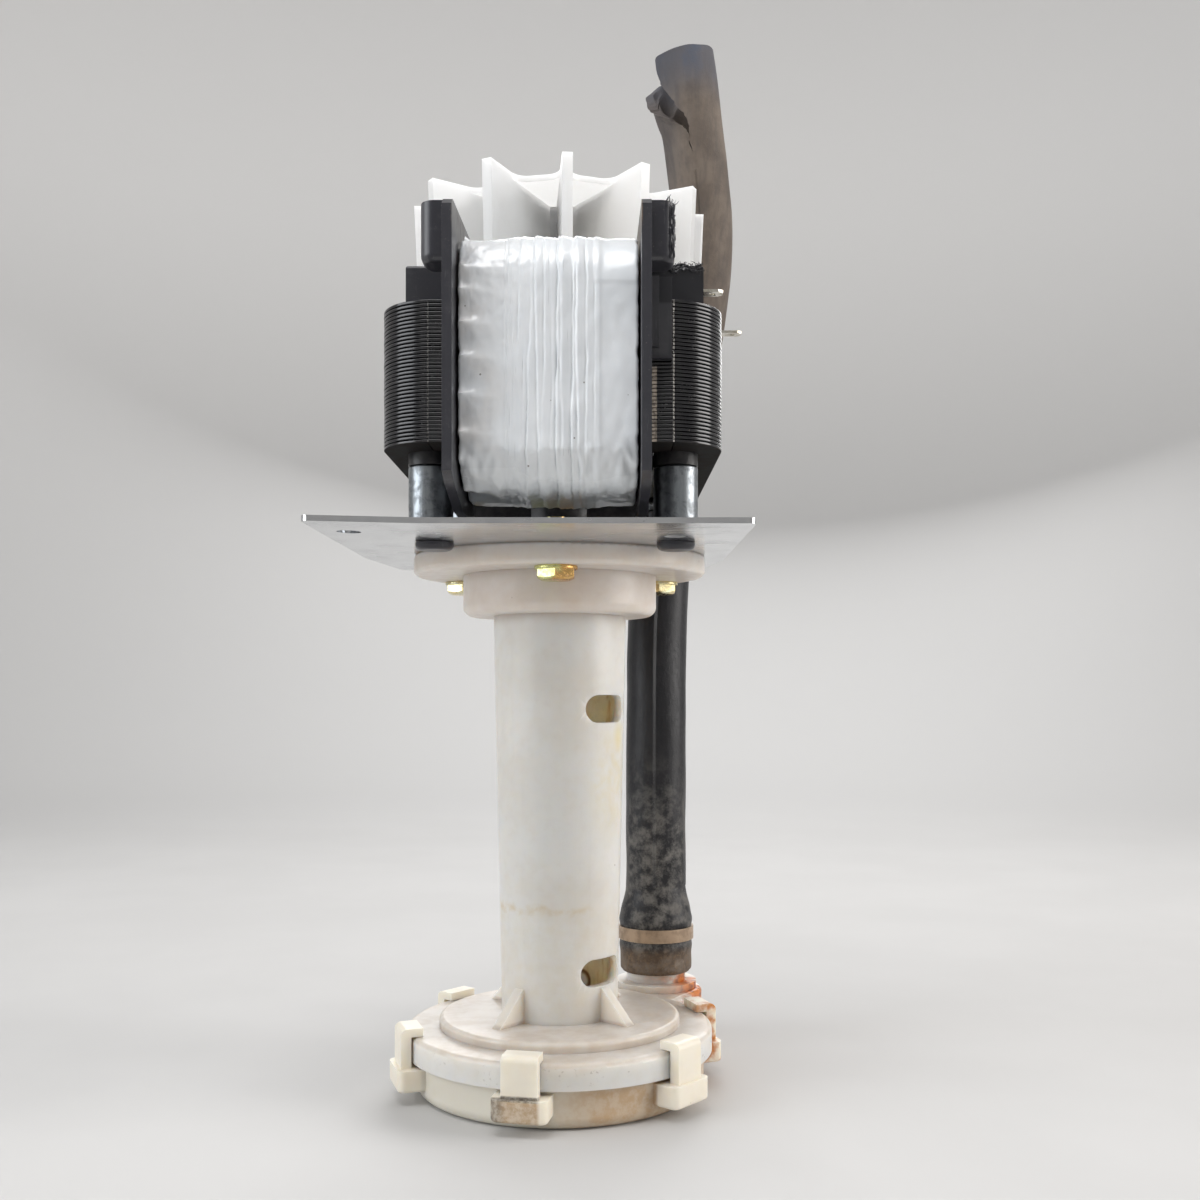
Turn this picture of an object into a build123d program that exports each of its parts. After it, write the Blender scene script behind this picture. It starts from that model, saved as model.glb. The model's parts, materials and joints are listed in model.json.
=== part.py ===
from build123d import *
import math
import os

# Upright sump pump with a C-frame shaded-pole motor.  Units are millimetres.
# The origin is on the shaft axis, on the underside of the mounting plate.  +Z points up to the fan,
# and -Y is the coil side.  Azimuths are measured from -Y (the front) towards +X.

os.makedirs("parts", exist_ok=True)

# ---------------------------------------------------------------- driving dimensions
# mounting plate
PLATE_T = 1.0
PLATE_X = (-41.5, 34.5)
PLATE_Y = (-56.0, 30.0)
PLATE_CORNER_R = 1.5
PLATE_HOLE_R = 8.0
PLUG_HOLE_R = 2.0
PLUG_PLACE = (22.6, -28.2)
EAR_HOLE_R = 2.15
EAR_HOLE = (-36.0, -42.0)

# stator stack, made of punched sheets
STACK_Z = (14.6, 39.0)
STACK_MID = (STACK_Z[0] + STACK_Z[1]) / 2
STACK_HALF_W = 30.0
STACK_FRONT = -50.0
STACK_REAR = 28.0
STACK_CORNER_R = 10.0
WINDOW_HALF_W = 18.0
WINDOW_REAR = -27.5
BAR_HALF_L = 21.0
BAR_REAR = -40.0
STATOR_BORE_R = 13.15
AIR_GAP = 0.35

# fixings of the motor
BOLT_X = 22.0
FRONT_BOLT_Y = -38.0
REAR_BOLT_Y = 20.0
RIVET_Y = 0.0
BOLT_R = 2.0
BOLT_CLEAR = 0.15
NUT_FLATS = 7.0
NUT_H = 3.2
SPACER_R = 4.0
SPACER_BORE_R = 2.5
RAIL_T = 2.2
RAIL_HALF_W = 4.0

# coil and bobbin
COIL_HALF_L = 14.4
COIL_Y = (-61.6, -29.4)
COIL_Z = (5.4, 48.0)
COIL_CORNER_R = 8.0
TAPE_T = 0.8
CHEEK_X = 15.0
CHEEK_T = 1.6
CHEEK_FRONT = -66.5
CHEEK_REAR = -30.0
CHEEK_BOTTOM = 2.8

# terminal blocks and tabs
POST_W = 3.9
POST_Y = (-64.0, -57.0)
POST_Z = (41.0, 50.6)
BLOCK_FRONT = -47.0
LEFT_BLOCK_END = (25.2, -28.0)
RIGHT_BLOCK_END = (26.3, -6.0)
BLOCK_TOP = 45.8
TAB_W = 2.8
TAB_T = 0.5
TAB_Z = 44.0
TONGUE_X = 20.6
TONGUE_T = 1.3
TONGUE_Z = (28.6, 42.4)
TONGUE_RIB = 0.6

# rotating parts
SHAFT_R = 3.0
SHAFT_Z = (-105.6, 71.8)
RUN_CLEAR = 0.02
ROTOR_R = STATOR_BORE_R - AIR_GAP
BEARING_R = 6.0
BEARING_L = 7.6
LOWER_BEARING_Z = 3.4
UPPER_BEARING_Z = 42.6

# cooling fan
FAN_R = 30.2
FAN_Z = (55.0, 72.5)
FAN_BLADES = 12
FAN_BLADE_T = 2.0
FAN_TURN = 4.5
FAN_DISC_R = 19.6
FAN_DISC_T = 1.2

# column
FLANGE_R = 30.2
FLANGE_T = 4.0
CAP_R = 20.1
CAP_Z = -12.3
COLUMN_TOP_R = 13.8
COLUMN_FOOT_R = 12.0
COLUMN_WALL = 1.9
COLUMN_FOOT_Z = -94.8
FLANGE_SCREW_R = 24.5
SLOT_H = 5.6
SLOT_L = 11.6
SLOT_AZ = 50.0
SLOT_Z = (-31.4, -84.8)
GUSSET_AZ = (-40.0, 50.0, 140.0, 230.0)
GUSSET_T = 2.2
GUSSET_REACH = 19.0
GUSSET_H = 6.8

# lid and bowl of the pump chamber
PLINTH_R = 25.0
LID_TOP = -96.8
LID_R = 31.7
LID_SKIRT_Z = -101.9
LID_T = 2.1
BOWL_R = 30.0
BOWL_BOTTOM = -110.0
BOWL_WALL = 1.8
INLET_R = 8.0
LOBE = (21.5, 33.0)
LOBE_R = 9.0
CLIP_AZ = (-71.0, -11.0, 49.0, 109.0, 177.0, 229.0)

# outlet spigot and hose
SPIGOT_R = 6.8
SPIGOT_BORE_R = 4.8
SPIGOT_TOP = -73.0
HOSE_R = 7.0
HOSE_BORE_R = 5.0
CUFF_R = 8.3
CUFF_BOTTOM = -93.0
CLAMP_Z = -84.0
CLAMP_W = 3.0
CLAMP_T = 0.5

# route of the free hose, from the top of the spigot to its open end
HOSE_ROUTE = [
    (21.5, 33.0, -73.0),
    (21.5, 33.0, -45.0),
    (22.0, 39.0, -3.0),
    (27.3, 40.6, 36.0),
    (33.4, 33.0, 74.0),
    (30.2, 26.6, 98.0),
    (27.3, 24.6, 117.0),
]


# ---------------------------------------------------------------- helpers
def rod(radius, z_low, z_high, x=0.0, y=0.0):
    """A solid cylinder between two heights."""
    return Pos(x, y, (z_low + z_high) / 2) * Cylinder(radius, z_high - z_low)


def tube(outer, inner, z_low, z_high, x=0.0, y=0.0):
    """A hollow cylinder between two heights."""
    return rod(outer, z_low, z_high, x, y) - rod(inner, z_low - 1, z_high + 1, x, y)


def block(x_span, y_span, z_span):
    """A box given by its three spans."""
    size = [high - low for low, high in (x_span, y_span, z_span)]
    middle = [(high + low) / 2 for low, high in (x_span, y_span, z_span)]
    return Pos(*middle) * Box(*size)


def prism(points, z_low, z_high):
    """A polygon in the XY plane, extruded between two heights."""
    face = make_face(Polyline(*points, close=True))
    return Pos(0, 0, z_low) * extrude(face, z_high - z_low)


def turned(points):
    """A closed profile of (radius, height) points, turned about the Z axis."""
    profile = make_face(Polyline(*[(r, 0, z) for r, z in points], close=True))
    return revolve(profile, Axis.Z)


def at_azimuth(azimuth):
    """A turn that carries the front direction (-Y) to an azimuth."""
    return Rot(0, 0, azimuth)


def group(solids):
    """Several separate solids kept together in one node."""
    return Compound(children=[s for shape in solids for s in shape.solids()])


def bolt_places():
    """The four long bolts' places."""
    return [(side * BOLT_X, y) for y in (FRONT_BOLT_Y, REAR_BOLT_Y) for side in (-1, 1)]


def polar(radius, azimuth):
    """X and Y of a point at a radius and an azimuth."""
    angle = math.radians(azimuth)
    return (radius * math.sin(angle), -radius * math.cos(angle))


# ---------------------------------------------------------------- plate and its fixings
def mounting_plate():
    """Galvanised sheet with one long ear, punched for the column, the motor and the tank."""
    chamfer_x = 4.0
    chamfer_y = 26.0
    bump_r = 1.8
    bump_h = 0.9
    bump_x = 26.6
    bump_y = -46.0
    outline = [
        (PLATE_X[0], PLATE_Y[0]),
        (PLATE_X[1], PLATE_Y[0]),
        (PLATE_X[1], PLATE_Y[1] - chamfer_y),
        (PLATE_X[1] - chamfer_x, PLATE_Y[1]),
        (PLATE_X[0] + chamfer_x, PLATE_Y[1]),
        (PLATE_X[0], PLATE_Y[1] - chamfer_y),
    ]
    plate = prism(outline, 0, PLATE_T)
    plate = fillet(plate.edges().filter_by(Axis.Z), PLATE_CORNER_R)
    plate -= rod(PLATE_HOLE_R, -1, PLATE_T + 1)
    for x, y in bolt_places():
        plate -= rod(BOLT_R + 0.05, -1, PLATE_T + 1, x, y)
    for azimuth in (0, 120, 240):
        x, y = polar(FLANGE_SCREW_R, azimuth)
        plate -= rod(BOLT_R + BOLT_CLEAR, -1, PLATE_T + 1, x, y)
    plate -= rod(EAR_HOLE_R, -1, PLATE_T + 1, *EAR_HOLE)
    for x, y in plug_places():
        plate -= rod(PLUG_HOLE_R, -1, PLATE_T + 1, x, y)
    for side in (-1, 1):
        bump = Pos(side * bump_x, bump_y, PLATE_T + bump_h - bump_r) * Sphere(bump_r)
        plate += bump & block((-40, 40), (-60, 0), (PLATE_T / 2, PLATE_T + bump_r))
    return plate


def plug_places():
    """Two spare holes in the plate, beside the column's flange."""
    x, y = PLUG_PLACE
    return [(-x, y), (x, y)]


def hole_plugs():
    """Black push-in plugs that blank the spare holes."""
    head_r = 3.6
    head_h = 1.5
    lip_r = 2.4
    lip_h = 0.8
    plugs = []
    for x, y in plug_places():
        head = rod(head_r, -head_h, 0, x, y)
        head = fillet(head.edges().group_by(Axis.Z)[0], 1.1)
        stem = rod(PLUG_HOLE_R - 0.05, 0, PLATE_T + lip_h + 0.4, x, y)
        lip = rod(lip_r, PLATE_T, PLATE_T + lip_h, x, y)
        plugs.append(head + stem + lip)
    return group(plugs)


def spacer_tubes():
    """Four steel tubes that hold the motor off the plate."""
    top = STACK_Z[0] - RAIL_T
    tubes = []
    for x, y in bolt_places():
        spacer = tube(SPACER_R, SPACER_BORE_R, PLATE_T, top, x, y)
        rims = spacer.edges().filter_by(GeomType.CIRCLE).filter_by(lambda e: e.radius > 3.5)
        tubes.append(chamfer(rims, 0.3))
    return group(tubes)


def motor_screws():
    """Four long M4 screws, heads up, that clamp the stack, brackets, spacers and plate."""
    head_h = 2.6
    head_r = 3.5
    slot_w = 1.0
    screws = []
    for x, y in bolt_places():
        under_head = STACK_Z[1] if y == FRONT_BOLT_Y else STACK_Z[1] + RAIL_T
        shank = rod(BOLT_R, 0.15, under_head, x, y)
        head = rod(head_r, under_head, under_head + head_h, x, y)
        head = fillet(head.edges().group_by(Axis.Z)[-1], 0.8)
        slot_y = (y - slot_w / 2, y + slot_w / 2)
        slot = block((x - 4, x + 4), slot_y, (under_head + head_h - 1.0, under_head + 5))
        screws.append(shank + (head - slot))
    return group(screws)


def flange_screws():
    """Three M4 hexagon flange screws that hold the column under the plate."""
    washer_r = 4.15
    washer_t = 0.7
    hexagon_h = 2.1
    crown_r = 7.0
    crown_rise = 0.55
    screws = []
    for azimuth in (0, 120, 240):
        x, y = polar(FLANGE_SCREW_R, azimuth)
        washer = rod(washer_r, -FLANGE_T - washer_t, -FLANGE_T, x, y)
        end_z = -FLANGE_T - washer_t - hexagon_h
        hexagon = extrude(RegularPolygon(NUT_FLATS / 2, 6, major_radius=False), hexagon_h)
        hexagon = Pos(x, y, end_z) * Rot(0, 0, 30 + azimuth) * hexagon
        crown = Pos(x, y, end_z + crown_r - crown_rise) * Sphere(crown_r)
        shank = rod(BOLT_R, -FLANGE_T, PLATE_T + NUT_H + 1.0, x, y)
        screws.append(washer + (hexagon & crown) + shank)
    return group(screws)


def flange_nuts():
    """Three M4 nuts on top of the plate."""
    nuts = []
    for azimuth in (0, 120, 240):
        x, y = polar(FLANGE_SCREW_R, azimuth)
        nut = extrude(RegularPolygon(NUT_FLATS / 2, 6, major_radius=False), NUT_H)
        nut = Pos(x, y, PLATE_T) * nut
        nuts.append(nut - rod(BOLT_R + 0.03, 0, 9, x, y))
    return group(nuts)


# ---------------------------------------------------------------- stator
def stator_yoke():
    """C-shaped stack: two legs, and a block with the rotor's bore between two poles."""
    outline = Pos(0, (STACK_FRONT + STACK_REAR) / 2) * RectangleRounded(
        2 * STACK_HALF_W, STACK_REAR - STACK_FRONT, STACK_CORNER_R
    )
    window = Pos(0, (BAR_REAR + WINDOW_REAR) / 2) * Rectangle(
        2 * WINDOW_HALF_W, WINDOW_REAR - BAR_REAR
    )
    bar_seat = Pos(0, (STACK_FRONT + BAR_REAR) / 2 - 1) * Rectangle(
        2 * BAR_HALF_L, BAR_REAR - STACK_FRONT + 2
    )
    sheet = outline - window - bar_seat - Circle(STATOR_BORE_R)
    for x, y in bolt_places() + [(-BOLT_X, RIVET_Y), (BOLT_X, RIVET_Y)]:
        sheet -= Pos(x, y) * Circle(BOLT_R + BOLT_CLEAR)
    for side in (-1, 1):
        slit = Pos(0, side * STATOR_BORE_R) * Rectangle(1.6, 7.0)
        sheet -= slit
        for turn in (52, -52):
            ring_slot = Rot(0, 0, turn * side) * Pos(side * (STATOR_BORE_R + 2.2), 0) * Rectangle(5.4, 2.2)
            sheet -= ring_slot
    return Pos(0, 0, STACK_Z[0]) * extrude(sheet, STACK_Z[1] - STACK_Z[0])


def core_bar():
    """Straight stack that closes the C and carries the coil."""
    return block((-BAR_HALF_L, BAR_HALF_L), (STACK_FRONT, BAR_REAR), STACK_Z)


def shading_rings():
    """Four copper loops through the pole slots, which give the motor its direction of turning."""
    rings = []
    for side in (-1, 1):
        for turn in (52, -52):
            outer = Box(4.6, 1.8, STACK_Z[1] - STACK_Z[0] + 3.0)
            bar = Pos(STATOR_BORE_R + 2.4, 0, STACK_MID) * outer
            rings.append(Rot(0, 0, turn * side + (180 if side < 0 else 0)) * bar)
    return group(rings)


def stator_rivets():
    """Two rivets through both bearing brackets and the stack."""
    low = STACK_Z[0] - RAIL_T
    high = STACK_Z[1] + RAIL_T
    head_r = 3.4
    head_h = 1.4
    rivets = []
    for side in (-1, 1):
        x = side * BOLT_X
        body = rod(BOLT_R, low, high, x, RIVET_Y)
        foot = fillet(rod(head_r, low - head_h, low, x, RIVET_Y).edges().group_by(Axis.Z)[0], 0.9)
        head = fillet(rod(head_r, high, high + head_h, x, RIVET_Y).edges().group_by(Axis.Z)[-1], 0.9)
        rivets.append(body + foot + head)
    return group(rivets)


# ---------------------------------------------------------------- coil
def cheek(side):
    """One flat cheek of the bobbin: its top edge climbs towards a pointed rear tip."""
    points = [
        (CHEEK_FRONT, 7.0),
        (CHEEK_FRONT + 3.0, 5.6),
        (-49.4, CHEEK_BOTTOM),
        (CHEEK_REAR - 1.5, CHEEK_BOTTOM),
        (CHEEK_REAR, CHEEK_BOTTOM + 1.5),
        (CHEEK_REAR, 53.6),
        (CHEEK_REAR - 1.2, 54.2),
        (CHEEK_FRONT + 1.6, 50.4),
        (CHEEK_FRONT, 49.2),
    ]
    face = make_face(Polyline(*[(0, y, z) for y, z in points], close=True))
    start = side * CHEEK_X if side > 0 else side * (CHEEK_X + CHEEK_T)
    return Pos(start, 0, 0) * extrude(face, CHEEK_T, dir=(1, 0, 0))


def coil_bobbin():
    """Black plastic bobbin: a square tube, two cheeks, posts and the blocks on the stack."""
    wall = 1.2
    gap = 0.15
    inner_y = (STACK_FRONT - gap, BAR_REAR + gap)
    inner_z = (STACK_Z[0] - gap, STACK_Z[1] + gap)
    outer_y = (inner_y[0] - wall, inner_y[1] + wall)
    outer_z = (inner_z[0] - wall, inner_z[1] + wall)
    body = block((-CHEEK_X, CHEEK_X), outer_y, outer_z)
    body += cheek(1)
    body += cheek(-1)
    body -= block((-40, 40), inner_y, inner_z)
    out = CHEEK_X + CHEEK_T
    for side in (-1, 1):
        post = block((out - 0.5, out + POST_W), POST_Y, POST_Z)
        post = fillet(post.edges().filter_by(Axis.Z).sort_by(Axis.X)[-2:], 2.4)
        post = fillet(post.edges().group_by(Axis.Z)[0].sort_by(Axis.X)[-1], 1.2)
        block_out, block_end = LEFT_BLOCK_END if side < 0 else RIGHT_BLOCK_END
        seat = block((out - 0.5, block_out), (BLOCK_FRONT, block_end), (STACK_Z[1], BLOCK_TOP))
        seat = fillet(seat.edges().group_by(Axis.Z)[-1], 0.6)
        seat -= rod(3.9, 30, STACK_Z[1] + 3.2, BOLT_X, FRONT_BOLT_Y)
        piece = post + seat
        body += piece if side > 0 else mirror(piece, Plane.YZ)
    body += block((out - 0.4, TONGUE_X), (STACK_FRONT - TONGUE_T, STACK_FRONT), TONGUE_Z)
    body += block((out - 0.4, TONGUE_X), (STACK_FRONT, BLOCK_FRONT + 0.5), (STACK_Z[1], TONGUE_Z[1]))
    rib_y = (STACK_FRONT - TONGUE_T - TONGUE_RIB, STACK_FRONT - TONGUE_T + 0.3)
    body += block((out - 0.4, TONGUE_X - 2.2), rib_y, (TONGUE_Z[0] + 1.8, TONGUE_Z[1]))
    for y, _ in terminal_places():
        half = TAB_W / 2 + 0.02
        body -= block((20.0, 40.0), (y - half, y + half), (TAB_Z - 0.01, TAB_Z + TAB_T + 0.01))
    return body


def coil_section(y_span, z_span, corner):
    """Rounded rectangle in the YZ plane, extruded along the coil's length."""
    middle = ((y_span[0] + y_span[1]) / 2, (z_span[0] + z_span[1]) / 2)
    shape = RectangleRounded(y_span[1] - y_span[0], z_span[1] - z_span[0], corner)
    solid = extrude(Plane.YZ * Pos(*middle) * shape, COIL_HALF_L, both=True)
    return solid


def tube_of_bobbin():
    """Room for the bobbin's square tube."""
    grow = 1.45
    return block(
        (-40, 40),
        (STACK_FRONT - grow, BAR_REAR + grow),
        (STACK_Z[0] - grow, STACK_Z[1] + grow),
    )


def coil_winding():
    """Enamelled copper winding under the tape."""
    y_span = (COIL_Y[0] + TAPE_T, COIL_Y[1] - TAPE_T)
    z_span = (COIL_Z[0] + TAPE_T, COIL_Z[1] - TAPE_T)
    return coil_section(y_span, z_span, COIL_CORNER_R - TAPE_T) - tube_of_bobbin()


def coil_tape():
    """White tape wrapped round the winding."""
    inner_y = (COIL_Y[0] + TAPE_T, COIL_Y[1] - TAPE_T)
    inner_z = (COIL_Z[0] + TAPE_T, COIL_Z[1] - TAPE_T)
    inside = coil_section(inner_y, inner_z, COIL_CORNER_R - TAPE_T)
    return coil_section(COIL_Y, COIL_Z, COIL_CORNER_R) - inside


def terminal_places():
    """Y of each spade tab, and the X that its tip reaches."""
    return [(-36.5, 30.6), (-10.0, 36.8)]


def spade_terminals():
    """Two tinned brass spade tabs for the supply wires."""
    tabs = []
    half = TAB_W / 2
    for y, tip in terminal_places():
        points = [
            (20.0, y - half), (tip - 0.9, y - half), (tip, y - half + 0.6),
            (tip, y + half - 0.6), (tip - 0.9, y + half), (20.0, y + half),
        ]
        tab = prism(points, TAB_Z, TAB_Z + TAB_T)
        tabs.append(tab - rod(0.6, TAB_Z - 1, TAB_Z + 2, tip - 1.9, y))
    return group(tabs)


# ---------------------------------------------------------------- bearing brackets and bearings
def bracket(rail_y, rail_z, bridge_z, hub_z, lip_z):
    """A pressed bridge: two rails along the stack and a channel-shaped bar with the bearing's cup."""
    bridge_half = 5.6
    wall_in = 15.4
    wall_out = 18.4
    rail_low, rail_high = rail_z
    shape = None
    for side in (-1, 1):
        x = side * BOLT_X
        rail = block((x - RAIL_HALF_W, x + RAIL_HALF_W), rail_y, rail_z)
        for end in rail_y:
            rail += rod(RAIL_HALF_W, rail_low, rail_high, x, end)
        wall_x = (side * wall_in, side * wall_out)
        low = min(rail_low, bridge_z[0])
        high = max(rail_high, bridge_z[1])
        wall = block((min(wall_x), max(wall_x)), (-bridge_half, bridge_half), (low, high))
        part = rail + wall
        shape = part if shape is None else shape + part
    reach = (wall_in + wall_out) / 2
    shape += block((-reach, reach), (-bridge_half, bridge_half), bridge_z)
    for side in (-1, 1):
        lip_y = sorted([side * bridge_half, side * (bridge_half - 1.2)])
        shape += block((-reach, reach), lip_y, lip_z)
    shape += rod(BEARING_R + 2.0, *hub_z)
    shape -= rod(BEARING_R, hub_z[0] - 1, hub_z[1] + 1)
    return shape


def lower_bearing_bracket():
    """Bracket under the stack, its rails between the stack and the spacers."""
    rail_z = (STACK_Z[0] - RAIL_T, STACK_Z[0])
    rail_y = (FRONT_BOLT_Y, REAR_BOLT_Y)
    hub_z = (LOWER_BEARING_Z, LOWER_BEARING_Z + BEARING_L)
    shape = bracket(rail_y, rail_z, (6.2, 8.2), hub_z, (7.2, 11.7))
    for x, y in bolt_places() + [(-BOLT_X, RIVET_Y), (BOLT_X, RIVET_Y)]:
        shape -= rod(BOLT_R + BOLT_CLEAR, 0, 30, x, y)
    return shape


def upper_bearing_bracket():
    """Bracket on top of the stack, behind the terminal blocks."""
    rail_z = (STACK_Z[1], STACK_Z[1] + RAIL_T)
    rail_y = (RIVET_Y, REAR_BOLT_Y)
    hub_z = (UPPER_BEARING_Z, UPPER_BEARING_Z + BEARING_L)
    shape = bracket(rail_y, rail_z, (45.0, 47.0), hub_z, (46.0, 49.0))
    for x, y in [(-BOLT_X, REAR_BOLT_Y), (BOLT_X, REAR_BOLT_Y), (-BOLT_X, RIVET_Y), (BOLT_X, RIVET_Y)]:
        shape -= rod(BOLT_R + BOLT_CLEAR, 30, 60, x, y)
    return shape


def bearing(z_low):
    """Sintered bronze bush with chamfered ends and an oil groove round it."""
    bush = tube(BEARING_R - 0.01, SHAFT_R + RUN_CLEAR, z_low, z_low + BEARING_L)
    groove = tube(BEARING_R + 1, BEARING_R - 0.8, z_low + 2.8, z_low + 4.8)
    return bush - groove


def retainer(z_low):
    """Thin spring washer that keeps the bush in its cup."""
    washer = tube(BEARING_R + 1.8, SHAFT_R + 1.2, z_low, z_low + 0.6)
    for azimuth in range(0, 360, 60):
        x, y = polar(6.1, azimuth)
        washer -= rod(0.7, z_low - 1, z_low + 2, x, y)
    return washer


def oil_felts():
    """Felt rings round the bushes, in their oil grooves."""
    felts = []
    for z_low in (LOWER_BEARING_Z, UPPER_BEARING_Z):
        felts.append(tube(BEARING_R - 0.05, BEARING_R - 0.75, z_low + 2.9, z_low + 4.7))
    return group(felts)


# ---------------------------------------------------------------- rotating parts
def motor_shaft():
    """One long stainless shaft from the fan to the impeller."""
    low, high = SHAFT_Z
    points = [
        (0, low), (SHAFT_R - 0.4, low), (SHAFT_R, low + 0.4),
        (SHAFT_R, high - 0.5), (SHAFT_R - 0.5, high), (0, high),
    ]
    shaft = turned(points)
    shaft -= block((2.4, 4), (-4, 4), (FAN_Z[0] + 2.0, high + 1))
    return shaft


def rotor_bars(radius):
    """The cage's bars, which lie just under the rotor's surface."""
    count = 17
    bars = []
    for i in range(count):
        x, y = polar(ROTOR_R - 1.9, i * 360 / count)
        bars.append(rod(radius, STACK_Z[0] - 1.0, STACK_Z[1] + 1.0, x, y))
    return bars


def rotor_core():
    """Laminated steel rotor, pressed on the shaft."""
    core = tube(ROTOR_R, SHAFT_R, *STACK_Z)
    for bar in rotor_bars(1.2):
        core -= bar
    return core


def rotor_cage():
    """Cast aluminium cage: end rings joined by bars."""
    ring_h = 2.2
    cage = tube(ROTOR_R - 0.4, 8.0, STACK_Z[0] - ring_h, STACK_Z[0])
    cage += tube(ROTOR_R - 0.4, 8.0, STACK_Z[1], STACK_Z[1] + ring_h)
    for bar in rotor_bars(1.2):
        cage += bar
    return cage


def thrust_washers():
    """Fibre washers that set the rotor between its bearings."""
    lower = tube(5.2, SHAFT_R, LOWER_BEARING_Z + BEARING_L + 0.9, STACK_Z[0])
    upper = tube(5.2, SHAFT_R, STACK_Z[1], UPPER_BEARING_Z - 0.3)
    return group([lower, upper])


def cooling_fan():
    """Radial fan: a web on top, scalloped between twelve straight blades, and a hub."""
    web = Circle(FAN_DISC_R)
    reach = FAN_R - 0.3
    for i in range(FAN_BLADES):
        spoke = Pos(0, -reach / 2) * Rectangle(FAN_BLADE_T, reach)
        web += Rot(0, 0, FAN_TURN + i * 360 / FAN_BLADES) * spoke
    corners = [v for v in web.vertices() if math.hypot(v.X, v.Y) < FAN_DISC_R + 2]
    web = fillet(corners, 3.2)
    fan = Pos(0, 0, FAN_Z[1] - FAN_DISC_T) * extrude(web, FAN_DISC_T)
    low, high = FAN_Z
    profile = [(4.0, low), (FAN_R - 0.8, low), (FAN_R, high), (4.0, high)]
    face = make_face(Polyline(*[(0, -r, z) for r, z in profile], close=True))
    blade = Pos(-FAN_BLADE_T / 2, 0, 0) * extrude(face, FAN_BLADE_T, dir=(1, 0, 0))
    for i in range(FAN_BLADES):
        fan += at_azimuth(FAN_TURN + i * 360 / FAN_BLADES) * blade
    fan += rod(6.5, low - 1.2, high - 1.4)
    fan -= rod(SHAFT_R, low - 3, high - 1.2)
    return fan - rod(5.4, high - 1.4, high + 2)


def fan_clip():
    """Spring clip pressed on the shaft above the fan's hub."""
    return tube(4.6, SHAFT_R, FAN_Z[1] - 1.3, FAN_Z[1] - 0.7)


def shaft_slinger():
    """Rubber ring that throws off water creeping up the shaft."""
    points = [(SHAFT_R, -3.4), (4.6, -3.4), (7.4, -2.6), (7.4, -1.8), (4.6, -1.0), (SHAFT_R, -1.0)]
    return turned(points)


def impeller():
    """Open impeller: a backplate on a hub, with six curved vanes below it."""
    top = -99.6
    bottom = -106.6
    disc_r = 22.0
    disc_t = 1.4
    hub_r = 5.6
    wheel = rod(disc_r, top - disc_t, top)
    wheel += rod(hub_r, bottom, top)
    outer_arc = 22.0
    arc = Pos(0, -17.0) * (Circle(outer_arc) - Circle(outer_arc - 1.6))
    outline = arc & (Pos(16.5, 0) * Rectangle(27.0, 60.0)) & Circle(disc_r - 0.3)
    vane = Pos(0, 0, bottom) * extrude(outline, top - 1.0 - bottom)
    for i in range(6):
        wheel += at_azimuth(i * 60) * vane
    return wheel - rod(SHAFT_R, bottom - 1, top + 1)


def impeller_screw():
    """Pan-head screw in the end of the shaft that holds the impeller."""
    head = rod(4.2, -107.6, -106.6)
    return fillet(head.edges().group_by(Axis.Z)[0], 0.5)


# ---------------------------------------------------------------- column and lid
def lobe_outline(radius, lobe_radius):
    """Round outline with a lobe out to the outlet."""
    angle = math.degrees(math.atan2(LOBE[1], LOBE[0]))
    reach = math.hypot(*LOBE)
    neck = Rot(0, 0, angle) * Pos(reach / 2, 0) * Rectangle(reach, 2 * lobe_radius)
    return Circle(radius) + neck + Pos(*LOBE) * Circle(lobe_radius)


def column_slot(z):
    """Cutter for one drain slot, with round ends."""
    slot = SlotOverall(SLOT_L, SLOT_H)
    cutter = extrude(Plane.XZ * slot, 16)
    return at_azimuth(SLOT_AZ) * Pos(0, -4.0, z) * cutter


def column_gusset(azimuth):
    """Triangular rib at the foot of the column."""
    low = COLUMN_FOOT_Z
    high = COLUMN_FOOT_Z + GUSSET_H
    root = COLUMN_FOOT_R - 1.0
    profile = [(root, low), (GUSSET_REACH, low), (COLUMN_FOOT_R + 0.4, high), (root, high)]
    face = make_face(Polyline(*[(0, -r, z) for r, z in profile], close=True))
    return at_azimuth(azimuth) * Pos(-GUSSET_T / 2, 0, 0) * extrude(face, GUSSET_T, dir=(1, 0, 0))


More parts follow.
